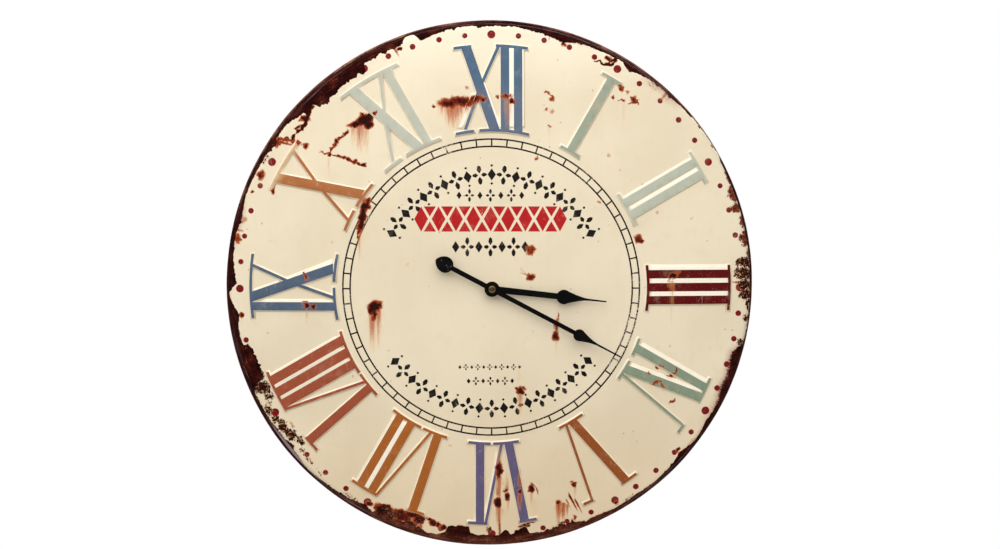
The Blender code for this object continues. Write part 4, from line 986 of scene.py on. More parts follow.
# ---------------------------------------------------------------- the paint layer
def point_heights(points, known, heights):
    """Heights, also for points that the triangulation added where loops crossed."""
    places = np.array(points)
    out = np.array([heights.get(point, 0.0) for point in points])
    given = np.array([i for i, point in enumerate(points) if point in heights])
    for i, point in enumerate(points):
        if point not in known:
            away = np.hypot(*(places[given] - places[i]).T)
            if away.min() < 2.0:
                out[i] = out[given[int(away.argmin())]]
    return out


def print_classes(centres, highlight_strips, inks, marks):
    """Key into PRINTS for each triangle; 0 is the bare ground."""
    kinds = np.zeros(len(centres), int)
    for loop in highlight_strips:
        kinds[inside(centres, [loop])] = PAINTED_HIGHLIGHT
    for hour, loops in inks.items():
        kinds[inside(centres, loops)] = hour
    for kind, loops in marks.items():
        for loop in loops:
            kinds[inside(centres, [loop])] = kind
    radius = np.hypot(*centres.T)
    degrees = np.degrees(np.arctan2(*centres.T)) % 6.0
    off = np.minimum(degrees, 6.0 - degrees) * math.pi / 180 * radius
    for inner, outer in TRACK:
        kinds[(radius > inner - 0.01) & (radius < outer)] = BLACK
    kinds[(radius > TRACK[0][1]) & (radius < TRACK[1][0]) & (off < TICK)] = BLACK
    return kinds


def print_colours(kinds, centres, corners):
    """Corner colours; alpha is the cover of the print."""
    colour = np.zeros((len(kinds), 3, 4))
    for kind, rgb in PRINTS.items():
        chosen = kinds == kind
        colour[chosen, :, :3] = rgb
        colour[chosen, :, 3] = 0.85 if kind == PAINTED_HIGHLIGHT else 1.0
    # Near eight the painted highlight strips are greyer, a painted shade.
    by_eight = np.abs(np.degrees(np.arctan2(*centres.T)) % 360 - 240.0) < 15.0
    colour[(kinds == PAINTED_HIGHLIGHT) & by_eight, :, :3] = srgb(240, 230, 206)
    # tints that change along some numerals: hour, colour, weight at each corner
    radius = np.hypot(corners[..., 0], corners[..., 1])
    for hour, rgb, weight in (
            (12, srgb(97, 109, 130), 0.85 * smoothstep(-corners[..., 1], -157.0, -140.0)),
            (1, srgb(178, 172, 146), 0.7 * np.exp(-((radius - 156.0) / 4.0) ** 2)),
            (10, srgb(232, 206, 160), 0.7 * smoothstep(radius, 176.5, 179.5))):
        chosen = kinds == hour
        part = weight[chosen][..., None]
        colour[chosen, :, :3] = colour[chosen, :, :3] * (1 - part) + np.array(rgb) * part
    return colour


def side_faces(tris, count):
    """Faces that join the front layer's open edges to the rear one, count points on."""
    edges = {(tri[i], tri[(i + 1) % 3]): True for tri in tris.tolist() for i in range(3)}
    rim = [edge for edge in edges if edge[::-1] not in edges]
    return ([(b, a, a + count) for a, b in rim]
            + [(b, a + count, b + count) for a, b in rim])


def build_paint():
    outline = [polar(edge_station(360.0 * k / 2400), math.radians(360.0 * k / 2400))
               for k in range(2400)]
    loops = [outline, circle(CENTRE_HOLE + 0.25, 40)]
    relief = Relief()
    bases, tops, inks, highlight_strips = [], [], {}, []
    for hour, spec in NUMERALS.items():
        # bare: the raised strips whose near-white print is a painted highlight.
        pieces, bare = numeral_pieces(spec), highlight_strip_pieces(hour)
        inks[hour] = [densify(spin(loop, 30.0 * hour), 6.0) for loop in union_loops(pieces)]
        highlight_strips += [spin(loop, 30.0 * hour) for loop in bare]
        levels = [relief.outline(hour, pieces + bare, *level, step=7.0)
                  for level in RAISE_LEVELS]
        bases.append(levels[0])
        tops.append(levels[-1])
        loops += sum(levels, []) + inks[hour]
        for loop in inks[hour]:
            for point in loop:
                relief.heights.setdefault(point, RAISE)
    marks = {DOT: minute_dots(), BLACK: black_ornament(), RED: red_ornament()}
    loops += marks[DOT] + track_loops() + marks[BLACK] + marks[RED]
    chosen = inner_points(outline, bases, tops, relief)
    points, tris = triangulate(loops, chosen)
    centres = centroids(points, tris)
    kept = inside(centres, [outline]) & (np.hypot(*centres.T) > CENTRE_HOLE + 0.22)
    tris, centres = tris[kept], centres[kept]
    known = {point for loop in loops + [chosen] for point in loop}
    height = point_heights(points, known, relief.heights)
    slope = np.array([relief.slopes.get(point, (0.0, 0.0)) for point in points])
    kinds = print_classes(centres, highlight_strips, inks, marks)
    colour = print_colours(kinds, centres, np.array(points)[tris])

    used, tris = np.unique(tris, return_inverse=True)
    tris = tris.reshape(-1, 3)
    x, z = np.array(points)[used].T
    height, slope, count = height[used], slope[used], len(used)
    front, normals = surface(x, z, PAINT + height)
    rear, _ = surface(x, z, -PAINT_SINK)
    normals = normals + np.stack([slope[:, 0], np.zeros(count), slope[:, 1]], -1)
    normals /= np.linalg.norm(normals, axis=1)[:, None]
    faces = np.concatenate([tris, tris[:, ::-1] + count, side_faces(tris, count)])
    mesh = new_mesh("dial_paint", np.concatenate([front, rear]).tolist(), faces.tolist())
    corners = np.zeros((len(faces), 3, 4))
    corners[:len(tris)] = colour
    ink = mesh.color_attributes.new("ink", "FLOAT_COLOR", "CORNER")
    ink.data.foreach_set("color", corners.reshape(-1).astype(np.float32))
    mesh.attributes.active_color = ink

    edge = np.array([edge_station(math.degrees(math.atan2(a, b))) for a, b in zip(x, z)])
    edge -= np.hypot(x, z)
    porous = rim_field(*wobble(x, z, 1.4, 3.0, 2.0), RIM_POROUS, curve=1.6)
    # Painted light on the numerals' slopes: a painted highlight where they face up and left, a
    # painted shade where they face down and right.
    painted_slope_light = np.clip(slope[:, 0] * -0.42 + slope[:, 1] * 0.9, -1, 1)
    # name, value at the front, value at the rear
    for name, values, behind in (
            ("rust", corrosion(x, z, edge), 0.9), ("run", runs(x, z), 0.0),
            ("porous", porous, 0.0), ("fade", track_fade(x, z), 0.0), ("painted_slope_light", painted_slope_light, 0.0),
            ("haze", haze(x, z, edge), 0.0), ("edge", 1 - np.clip(edge / 1.2, 0, 1), 1.0)):
        point_attribute(mesh, name, np.concatenate([values, np.full(count, behind)]))
    mesh.update()
    set_normals(mesh, np.concatenate([normals, -normals]))
    return link_object("dial_paint", mesh)


# ---------------------------------------------------------------- the steel pan
class PanMesh:
    """The pan's vertices, normals, faces and per-vertex values (inside, paint crumbs, painted
    highlights), gathered ring by ring.
    """
    COUNT = 360

    def __init__(self):
        self.verts, self.normals, self.faces = [], [], []
        self.wear = {name: [] for name in ("inner", "crumbs", "shoulder", "bead")}
        self.angles = np.arange(self.COUNT) * 2 * math.pi / self.COUNT
        self.ends = np.array([edge_station(math.degrees(a)) for a in self.angles])
        degrees = 360.0 * np.arange(self.COUNT) / self.COUNT
        self.bead, self.crumbs, self.shoulder = (
            np.max([strength * swell(degrees, centre, half) for centre, half, strength in rows],
                   axis=0) for rows in (BEAD_HIGHLIGHT, CRUMB_WEAR, SHOULDER_GLINT))

    def add(self, places, normals, **wear):
        first = len(self.verts)
        self.verts += places.tolist()
        self.normals += normals.tolist()
        for name, values in self.wear.items():
            values.extend(wear.get(name, np.zeros(len(places))))
        return list(range(first, len(self.verts)))

    def outer_ring(self, station):
        places, normals = surface(station * np.sin(self.angles),
                                  station * np.cos(self.angles), 0.0)
        past = np.maximum(0.0, station - self.ends)     # distance beyond the paint
        # crumbs: paint left past the broken edge; the other two are painted highlights, just past the
        # paint's end and along the rolled edge.
        return self.add(
            places, normals,
            crumbs=self.crumbs * np.maximum(0.0, 1 - past / 7.0),
            shoulder=self.shoulder * max(0.0, 1 - abs(station - 195.2) / 3.6),
            bead=(0.2 + 0.8 * self.bead) * max(0.0, 1 - abs(station - 206.4) / 2.8))

    def back_ring(self, radius, depth, out, deep):
        """A ring on the back; out and deep are the normal's parts."""
        s, c = np.sin(self.angles), np.cos(self.angles)
        level = np.ones(self.COUNT)
        return self.add(np.stack([radius * s, level * (depth + SHIFT), radius * c], -1) * MM,
                        np.stack([out * s, level * deep, out * c], -1), inner=level)

    def band(self, ring, onward):
        for i in range(self.COUNT):
            j = (i + 1) % self.COUNT
            self.faces.append((ring[i], ring[j], onward[j], onward[i]))


def lip_and_skirt_rings(pan):
    """Back rings from the lip inwards and up inside the skirt."""
    rings = [pan.back_ring(LIP_R, BACK, -0.3, 0.95),
             pan.back_ring(LIP_R, BACK - SHEET, -0.3, -0.95)]
    bend = SHOULDER - SHEET
    rise = BACK - SHEET - (BEND_DEPTH - bend * math.cos(SKIRT_LEAN))
    reach = BEND_R + bend * math.sin(SKIRT_LEAN) + rise / math.tan(SKIRT_LEAN)
    rings.append(pan.back_ring(reach - 1.0, BACK - SHEET, -0.1, -1))
    rings.append(pan.back_ring(reach, BACK - SHEET - 1.0, -1, -0.1))
    for k in range(8, 0, -1):
        lean = DOME_LEAN + (SKIRT_LEAN - DOME_LEAN) * k / 8
        s, c = math.sin(lean), math.cos(lean)
        rings.append(pan.back_ring(BEND_R + bend * s, BEND_DEPTH - bend * c, -s, c))
    return rings


def dome_back(pan):
    """Inside face of the dome with pressed numerals; gives its outer and centre rings."""
    outer = [polar(DIAL_R, angle) for angle in pan.angles]
    hole = [polar(CENTRE_HOLE, angle) for angle in pan.angles]
    relief, loops, floors = Relief(), [outer, hole], []
    for hour, spec in NUMERALS.items():
        pieces = numeral_pieces(spec) + highlight_strip_pieces(hour)
        for outset, height, slope in PRESS_LEVELS:
            found = relief.outline(hour, pieces, outset, height, -slope, step=6.0)
            loops += found
        floors.append(found)
    extra = []
    for radius in range(12, 190, 6):
        count = max(12, int(2 * math.pi * radius / 7))
        extra += circle(float(radius), count, phase=0.2 * radius)
    points, tris = triangulate(loops, extra)
    places = np.array(points)
    x, z = places.T
    radius = np.hypot(x, z)
    pressed = np.any([inside(places, found) for found in floors], axis=0)
    height = np.array([relief.heights.get(point, PRESS_DEPTH if pressed[i] else 0.0)
                       for i, point in enumerate(points)])
    slope = np.array([relief.slopes.get(point, (0.0, 0.0)) for point in points])
    fall = 2 * DOME_H * radius / DIAL_R ** 2
    reach = np.maximum(radius, 1e-6)
    normals = np.stack([-x / reach * fall + slope[:, 0], np.ones(len(x)),
                        -z / reach * fall + slope[:, 1]], -1)
    normals /= np.linalg.norm(normals, axis=1)[:, None]
    verts = np.stack([x, dome_depth(radius) + SHEET - height + SHIFT, z], -1) * MM
    ids = pan.add(verts, normals, inner=np.ones(len(x)))
    away = np.hypot(*centroids(points, tris).T)
    kept = (away > CENTRE_HOLE * 0.999) & (away < DIAL_R)
    pan.faces += [tuple(ids[i] for i in reversed(tri)) for tri in tris[kept].tolist()]
    index = dict(zip(points, ids))
    return [index[point] for point in outer], [index[point] for point in hole]


def build_pan():
    """The steel pan under the paint, with the numerals pressed into its back."""
    pan = PanMesh()
    stations = [CENTRE_HOLE, 12, 30, 55, 80, 105, 130, 150, 168, 180, 188]
    stations += [float(s) for s in STATIONS if DIAL_R - 0.01 < s < LIP_STATION - 0.01]
    rings = [pan.outer_ring(station) for station in stations]
    rings += lip_and_skirt_rings(pan)
    for ring, onward in zip(rings, rings[1:]):
        pan.band(ring, onward)
    outer, hole = dome_back(pan)
    pan.band(rings[-1], outer)
    pan.band(hole, rings[0])
    mesh = new_mesh("steel_pan", pan.verts, pan.faces)
    for name, values in pan.wear.items():
        point_attribute(mesh, name, values)
    with editing(mesh) as bm:
        bmesh.ops.recalc_face_normals(bm, faces=bm.faces)
    set_normals(mesh, pan.normals)
    return link_object("steel_pan", mesh)


# ---------------------------------------------------------------- hands and turned bodies
HUB_R = 5.6
TAIL_AT, TAIL_R, TAIL_BAR = -38.9, 6.0, 1.8     # disc centre, its radius, half width of its bar


def extrude(name, layers, turn):
    """A closed body from stacked layers (start depth, end depth, loops), turned clockwise."""
    verts, index, faces = [], {}, []

    def vert(point, depth):
        key = (*point, depth)
        if key not in index:
            index[key] = len(verts)
            verts.append(key)
        return index[key]

    for start, end, loops in layers:
        for loop in loops:
            for i in range(len(loop)):
                a, b = loop[i - 1], loop[i]
                faces.append((vert(a, start), vert(b, start), vert(b, end), vert(a, end)))
    levels = [([], layers[0][2], layers[0][0])]
    levels += [(here[2], onward[2], here[1]) for here, onward in zip(layers, layers[1:])]
    levels.append((layers[-1][2], [], layers[-1][1]))
    for under, over, depth in levels:
        loops = []
        for loop in under + over:
            if loop not in loops:
                loops.append(loop)
        points, tris = triangulate(loops)
        centres = centroids(points, tris)
        for tri in tris[inside(centres, under) != inside(centres, over)].tolist():
            faces.append(tuple(vert(points[i], depth) for i in tri))
    turned_points = spin([(x, z) for x, z, _ in verts], turn)
    places = [(x * MM, (vertex[2] + SHIFT) * MM, z * MM)
              for (x, z), vertex in zip(turned_points, verts)]
    mesh = new_mesh(name, places, faces)
    with editing(mesh) as bm:
        bmesh.ops.recalc_face_normals(bm, faces=bm.faces)
        bmesh.ops.dissolve_limit(bm, angle_limit=math.radians(0.5), verts=bm.verts,
                                 edges=bm.edges)
    shade_by_angle(mesh, 30.0)
    ob = link_object(name, mesh)
    bevel(ob, "edge", 0.1, 40)
    return ob


def tail_outline():
    """(place along the hand, half width) round the counterweight disc."""
    out = []
    for k in range(12):
        part = 1.0 - k / 12.0
        out.append((TAIL_AT - 8.0 * part, TAIL_R * (1.0 - part * part) ** 0.75))
    for k in range(9):
        x, y = polar(TAIL_R, math.radians(72.0 * k / 8.0))
        out.append((TAIL_AT + x, y))
    out.append((TAIL_AT + math.sqrt(TAIL_R ** 2 - TAIL_BAR ** 2), TAIL_BAR))
    return out


def hand_outline(tip, blob, blob_r, needle, bar_in, bar_out, tail):
    """Outline of an upright spade hand. blob: the disc's place; needle: where the taper ends;
    bar_in and bar_out: half widths of the bar at the hub and the disc."""
    out = tail_outline() if tail else []
    join = math.asin(TAIL_BAR / HUB_R) if tail else 0.0
    leave = math.asin(bar_in / HUB_R)
    for k in range(25):
        angle = join + (math.pi - leave - join) * k / 24
        out.append((-HUB_R * math.cos(angle), HUB_R * math.sin(angle)))
    back = math.asin(bar_out / blob_r)
    for k in range(15):
        angle = back + (math.radians(122.0) - back) * k / 14.0
        out.append((blob - blob_r * math.cos(angle), blob_r * math.sin(angle)))
    start, width = out[-1]
    for k in range(1, 12):
        part = k / 11.0
        out.append((start + (needle - start) * part,
                    0.74 + (width - 0.74) * (1.0 - part) ** 1.55))
    out += [(tip - 0.5, 0.5), (tip - 0.15, 0.3), (tip, 0.12)]
    right = [(w, along) for along, w in out]
    left = [(-w, along) for along, w in reversed(out) if w > 1e-6]
    return right + left


def turned(name, rows, steps, origin=(0.0, 0.0), along_x=False, spokes=None):
    """A body of revolution from closed (radius, place on axis) rows, about Y or X; spokes
    scales the radii over 0.9 of the widest."""
    verts, faces = [], []
    widest = max(radius for radius, _ in rows)
    for k in range(steps):
        angle = 2 * math.pi * k / steps
        for radius, place in rows:
            reach = radius * (spokes(k, steps) if spokes and radius > 0.9 * widest else 1.0)
            a = origin[0] + reach * math.cos(angle)
            b = origin[1] + reach * math.sin(angle)
            x, y = (place, a) if along_x else (a, place)
            verts.append((x * MM, (y + SHIFT) * MM, b * MM))
    count = len(rows)
    for k in range(steps):
        here, onward = k * count, ((k + 1) % steps) * count
        for i in range(count):
            j = (i + 1) % count
            faces.append((here + i, here + j, onward + j, onward + i))
    mesh = new_mesh(name, verts, faces)
    with editing(mesh) as bm:
        bmesh.ops.remove_doubles(bm, verts=bm.verts, dist=1e-7)
        bmesh.ops.dissolve_degenerate(bm, edges=bm.edges, dist=1e-8)
        bmesh.ops.recalc_face_normals(bm, faces=bm.faces)
    shade_by_angle(mesh, 35.0)
    return link_object(name, mesh)


# ---------------------------------------------------------------- shader graphs
class Field:
    """A shader output; each operation on it adds math nodes."""

    def __init__(self, graph, socket):
        self.graph, self.socket = graph, socket

    def __add__(self, other):
        return self.graph.math("ADD", self, other)

    def __radd__(self, other):
        return self.graph.math("ADD", other, self)

    def __sub__(self, other):
        return self.graph.math("SUBTRACT", self, other)

    def __rsub__(self, other):
        return self.graph.math("SUBTRACT", other, self)

    def __mul__(self, other):
        return self.graph.math("MULTIPLY", self, other)

    def __abs__(self):
        return self.graph.math("ABSOLUTE", self)

    def max(self, other):
        return self.graph.math("MAXIMUM", self, other)

    def below(self, limit):
        return self.graph.math("LESS_THAN", self, limit)

    def linear(self, gain, base):
        """self * gain + base"""
        return self.graph.math("MULTIPLY_ADD", self, gain, base)

    def sway(self, gain, base):
        """base varied by this noise about its middle"""
        return (self - 0.5).linear(gain, base)

    def clamp(self):
        self.socket.node.use_clamp = True
        return self

    def step(self, low, high, start=0.0, end=1.0):
        """Smooth change from start at low to end at high."""
        return self.graph.node("ShaderNodeMapRange", {
            "Value": self, "From Min": low, "From Max": high, "To Min": start, "To Max": end,
        }, interpolation_type="SMOOTHSTEP")

    def mix(self, part, colour):
        """This colour turned towards another by a part."""
        return self.graph.mix(part, self, colour)


class Graph:
    """The node tree of a material or world."""

    def __init__(self, owner):
        owner.use_nodes = True
        self.tree = owner.node_tree

    def put(self, socket, value):
        if isinstance(value, Field):
            self.tree.links.new(value.socket, socket)
            return
        if hasattr(value, "__len__") and len(value) == 3 and len(socket.default_value) == 4:
            value = (*value, 1.0)
        socket.default_value = value

    def node(self, kind, inputs, out=0, **props):
        made = self.tree.nodes.new(kind)
        for name, value in props.items():
            setattr(made, name, value)
        for key, value in inputs.items():
            self.put(made.inputs[key], value)
        return Field(self, made.outputs[out])

    def math(self, operation, *values):
        return self.node("ShaderNodeMath", dict(enumerate(values)), operation=operation)

    def vector(self, operation, inputs, out=0):
        return self.node("ShaderNodeVectorMath", inputs, out, operation=operation)

    def split(self, vector):
        """The x, y and z parts."""
        first = self.node("ShaderNodeSeparateXYZ", {0: vector})
        return [Field(self, socket) for socket in first.socket.node.outputs]

    def mix(self, part, a, b, blend="MIX"):
        return self.node("ShaderNodeMix", {"Factor": part, 6: a, 7: b}, 2,
                         data_type="RGBA", blend_type=blend)

    def lerp(self, part, a, b):
        return self.node("ShaderNodeMix", {"Factor": part, 2: a, 3: b}, data_type="FLOAT")

    def camera_ray(self):
        return self.node("ShaderNodeLightPath", {}, "Is Camera Ray")


class Material(Graph):
    """A principled material; texture places are in mm of the object's frame."""
    INPUTS = {"color": "Base Color", "metal": "Metallic", "rough": "Roughness",
              "normal": "Normal", "spec": "Specular IOR Level", "tint": "Specular Tint"}

    def __init__(self, name):
        self.material = bpy.data.materials.new(name)
        super().__init__(self.material)
        self.principled = self.tree.nodes["Principled BSDF"]
        coords = self.node("ShaderNodeTexCoord", {}, "Object")
        self.mm = self.vector("SCALE", {0: coords, "Scale": 1000.0})

    def stretch(self, x, y, z, offset=None):
        place = self.vector("MULTIPLY", {0: self.mm, 1: (x, y, z)})
        return self.vector("ADD", {0: place, 1: offset}) if offset else place

    def noise(self, scale, detail, rough, place=None, warp=0.0):
        return self.node("ShaderNodeTexNoise", {
            "Vector": place or self.mm, "Scale": scale, "Detail": detail, "Roughness": rough,
            "Distortion": warp})

    def cells(self, scale, feature="F1", place=None, out="Distance"):
        return self.node("ShaderNodeTexVoronoi", {"Vector": place or self.mm, "Scale": scale},
                         out, feature=feature)

    def ramp(self, value, stops):
        field = self.node("ShaderNodeValToRGB", {0: value})
        elements = field.socket.node.color_ramp.elements
        while len(elements) < len(stops):
            elements.new(0.5)
        for element, (position, colour) in zip(elements, stops):
            element.position, element.color = position, (*colour, 1.0)
        return field

    def attr(self, name, out="Fac"):
        return self.node("ShaderNodeAttribute", {}, out, attribute_name=name)

    def bump(self, height, strength, distance):
        return self.node("ShaderNodeBump", {
            "Strength": strength, "Distance": distance * MM, "Height": height})

    def finish(self, **values):
        for name, value in values.items():
            self.put(self.principled.inputs[self.INPUTS[name]], value)
        return self.material


# ---------------------------------------------------------------- enamel
RUST_STOPS = [(0.0, srgb(34, 12, 9)), (0.2, srgb(64, 20, 13)), (0.42, srgb(106, 34, 18)),
              (0.64, srgb(146, 58, 28)), (0.85, srgb(182, 92, 46)), (1.0, srgb(206, 134, 78))]


def cream_ground(mat, mid, streak, up):
    """Cream, slightly uneven, with freckles; painted light and shade from top to bottom and on the
    slopes.
    """
    broad = mat.noise(scale=0.012, detail=3, rough=0.5)
    base = mat.mix(broad.step(0.35, 0.65), srgb(229, 214, 185), srgb(236, 222, 194))
    base = base.mix(mid.step(0.5, 0.8) * 0.22, srgb(218, 198, 162))
    base = base.mix(streak.step(0.55, 0.8) * 0.14, srgb(206, 184, 148))
    # Painted shade: darker and warmer towards the bottom. Painted light: lighter towards the top.
    base = base.mix(up.step(-40.0, -190.0),
                    mat.mix(1.0, base, srgb(251, 244, 235), "MULTIPLY"))
    base = base.mix(up.step(138.0, 192.0) * 0.55, srgb(250, 240, 216))
    painted_slope_light = mat.attr("painted_slope_light")
    # Painted highlight on slopes facing up and left, painted shade on slopes facing down and right.
    base = base.mix(painted_slope_light.max(0.0) * 0.36, srgb(252, 246, 232))
    base = base.mix((painted_slope_light * -1.0).max(0.0) * 0.34, srgb(176, 152, 118))
    patches = mat.noise(scale=0.05, detail=2, rough=0.5).step(0.5, 0.62)
    freckle = mat.cells(0.11).below(0.085) * patches
    return base.mix(freckle * 0.45, srgb(150, 120, 88))


def print_cover(mat, mid, grain):
    """Cover of the print: thin wear, scratches, nicks, breaking up where faded."""
    wear = mat.noise(scale=1.1, detail=3, rough=0.75).sway(2.6, grain * 0.3)
    gone = (wear + mat.attr("fade")).step(0.62, 0.78)
    lines = mat.noise(scale=1.0, detail=2, rough=0.5, warp=0.6,
                      place=mat.stretch(0.16, 0.1, 0.07, (1.0, 2.0, 3.0)))
    patches = mat.noise(scale=0.06, detail=2, rough=0.5,
                        place=mat.stretch(1, 1, 1, (9.0, 0.0, 2.0)))
    scratch = abs(lines - 0.5).step(0.0016, 0.0045, 1.0, 0.0) * patches.step(0.5, 0.6)
    nick = mat.cells(0.33, place=mat.stretch(1, 1, 1, (5.0, 1.0, 8.0))).below(0.065)
    nick = nick * mid.step(0.5, 0.56)
    rubbed = grain.sway(0.5, mid).step(0.56, 0.72) * 0.10
    lost = gone.max(scratch * 0.3).max((nick * 0.34).max(rubbed))
    return (mat.attr("ink", "Alpha") * (1.0 - lost)).clamp()


def print_tone(mat, mid, thin):
    ink = mat.attr("ink", "Color")
    tone = ink.mix(thin.step(0.5, 0.75) * 0.16, ink.mix(0.6, srgb(60, 40, 36)))
    return tone.mix(mid.step(0.35, 0.7) * 0.10,
                    mat.mix(1.0, tone, srgb(250, 246, 238), "SOFT_LIGHT"))


def weeping(mat, colour, thin, streak, fine):
    """Stain that ran down in fine streaks."""
    run = mat.attr("run")
    weep = thin.sway(0.75, streak.sway(0.75, fine.sway(0.3, run * 1.25)))
    weep = weep.step(-0.02, 0.92) * run.step(0.0, 0.25)
    return colour.mix(weep * 0.9, mat.mix(weep.step(0.2, 0.85), srgb(222, 164, 100),
                                          srgb(176, 82, 34)))


def rusting(mat, colour, grain, thin):
    """Corrosion with ragged edges; gives the colour, where it broke through, and the stain."""
    rust = mat.attr("rust")
    jag = mat.noise(scale=0.62, detail=5, rough=0.72, warp=0.5)
    rag = grain.sway(0.34, jag.sway(0.72, rust))
    rag = ((thin - 0.5) * rust.step(0.05, 0.3)).linear(0.36, rag)
    body = rag.step(0.50, 0.56)
    stain = rag.step(0.16, 0.58) * rust.step(0.02, 0.16)
    colour = colour.mix(stain * 0.80, mat.mix(rag.step(0.24, 0.5), srgb(218, 164, 104),
                                              srgb(168, 74, 34)))
    depth = rag.step(0.54, 1.12)
    mottle = mat.noise(scale=1.1, detail=4, rough=0.72)
    tones = mat.ramp((1.0 - depth) * 0.72 + (mottle - 0.46) * 0.85, RUST_STOPS)
    return colour.mix(body, tones), body, stain


def crumbling(mat, colour, grain, fine, right, up):
    """Crumbled patches by the rim: dark steel between flakes; redder at the upper right."""
    porous = mat.attr("porous")
    crumb = mat.noise(scale=0.40, detail=5, rough=0.74, warp=1.1).sway(3.0, porous)
    crumb = grain.sway(0.3, crumb)
    near = porous.step(0.05, 0.2)
    colour = colour.mix(crumb.step(0.38, 0.48) * near * 0.75,
                        mat.mix(grain.step(0.4, 0.6), srgb(150, 84, 46), srgb(206, 152, 100)))
    crumb = crumb.step(0.48, 0.54) * near
    flakes = mat.ramp(mat.noise(scale=0.62, detail=3, rough=0.62, warp=0.4), [
        (0.38, srgb(26, 6, 6)), (0.55, srgb(48, 13, 10)), (0.60, srgb(120, 50, 26)),
        (0.64, srgb(222, 172, 112))])
    ruddy = right.step(150.0, 165.0) * up.step(20.0, 30.0)
    flakes = flakes.mix(ruddy * 0.75, mat.mix(fine.step(0.42, 0.66), srgb(78, 20, 15),
                                              srgb(160, 72, 48)))
    return colour.mix(crumb, flakes), crumb


def paint_material():
    mat = Material("cream_enamel_worn")
    mid = mat.noise(scale=0.09, detail=4, rough=0.6)
    fine = mat.noise(scale=0.9, detail=4, rough=0.6)
    grain = mat.noise(scale=2.6, detail=3, rough=0.7)
    streak = mat.noise(scale=1.0, detail=4, rough=0.65, place=mat.stretch(0.55, 0.3, 0.035))
    thin = mat.noise(scale=1.0, detail=3, rough=0.6,
                     place=mat.stretch(1.9, 0.5, 0.06, (3.0, 0.0, 7.0)))
    right, _, up = mat.split(mat.mm)
    base = cream_ground(mat, mid, streak, up)
    smoke = (mat.attr("haze") * fine.sway(1.6, 0.95)).clamp()
    base = base.mix(smoke, mat.mix(smoke.step(0.4, 1.0), srgb(178, 128, 104), srgb(92, 40, 30)))
    cover = print_cover(mat, mid, grain)
    colour = base.mix(cover, print_tone(mat, mid, thin))
    colour = weeping(mat, colour, thin, streak, fine)
    colour, body, stain = rusting(mat, colour, grain, thin)
    colour, crumb = crumbling(mat, colour, grain, fine, right, up)
    colour = colour.mix(smoke.step(0.55, 0.95), srgb(74, 30, 24))
    patches = mat.noise(scale=0.22, detail=2, rough=0.5).step(0.36, 0.6)
    lip = mat.attr("edge").step(0.80, 0.99) * patches
    colour = colour.mix(lip * 0.6, srgb(58, 26, 16))
    broken = body.max(crumb)
    peel = mat.noise(scale=0.32, detail=2, rough=0.5)
    relief = peel * 0.5 + fine * 0.12 - broken * (0.9 + grain * 1.2)
    rough = (mat.lerp(broken, mid.linear(0.16, 0.40), 0.85) + stain * 0.1).clamp()
    return mat.finish(color=colour, rough=rough,
                      normal=mat.bump(relief, strength=0.35, distance=0.22),
                      spec=mat.lerp(broken, cover.linear(-0.2, 0.30), 0.12))


# ---------------------------------------------------------------- steel
def steel_outside(mat, mid, fine, grain, radius, fleck):
    """Dark rusted steel of the bare rim, lighter in places: lighter towards the bottom, with painted
    highlights on the rolled edge, on its lower side and just past the paint's end.
    """
    across = mat.node("ShaderNodeCombineXYZ", {1: radius * 1.1})
    place = mat.vector("ADD", {0: mat.stretch(0.05, 0.9, 0.05), 1: across})
    brush = mat.noise(scale=1.0, detail=4, rough=0.65, place=place)
    level = brush.sway(0.7, fine.sway(0.7, mid))
    colour = mat.ramp(level, [
        (0.28, srgb(24, 5, 5)), (0.48, srgb(40, 11, 10)), (0.62, srgb(60, 20, 16)),
        (0.74, srgb(96, 38, 28)), (0.88, srgb(150, 82, 54))])
    up = mat.split(mat.mm)[2]
    lower = brush.sway(60.0, up).step(-130.0, -196.0) * radius.step(187.0, 195.5)
    colour = colour.mix(lower * 0.8, mat.mix(level.step(0.4, 0.7), srgb(84, 36, 27),
                                             srgb(158, 92, 68)))
    # Painted highlight: the lower side of the rolled edge made lighter.
    flank_highlight = radius.step(196.6, 201.6) * up.step(60.0, -50.0)
    colour = colour.mix(flank_highlight * 0.6, mat.mix(level.step(0.4, 0.7), srgb(92, 48, 44),
                                             srgb(140, 92, 84)))
    # Painted highlight along the rolled edge.
    bead = brush.sway(1.8, mat.attr("bead")).step(0.25, 1.0)
    colour = colour.mix(bead * 0.75, mat.mix(mid.step(0.4, 0.65), srgb(116, 60, 44),
                                             srgb(182, 134, 108)))
    # Painted highlight: a pale lavender glint just past the paint's end.
    worn = brush.sway(1.4, mat.attr("shoulder")).step(0.25, 0.85)
    colour = colour.mix(worn * 0.75, srgb(190, 164, 170))
    colour = colour.mix(fleck * 0.6, mat.mix(grain, srgb(122, 52, 28), srgb(178, 112, 62)))
    colour = colour.mix(grain.step(0.42, 0.28) * 0.6, srgb(20, 8, 8))
    # crumbs of paint left by the broken edge
    bits = mat.noise(scale=0.62, detail=4, rough=0.7,
                     place=mat.stretch(1, 1, 1, (4.0, 2.0, 6.0)))
    flake = mat.attr("crumbs").linear(0.16, grain.sway(0.35, bits)).step(0.735, 0.765)
    flake = flake * mat.attr("crumbs").step(0.02, 0.2)
    return colour.mix(flake, mat.mix(grain.step(0.4, 0.6), srgb(196, 164, 118),
                                     srgb(232, 214, 178)))


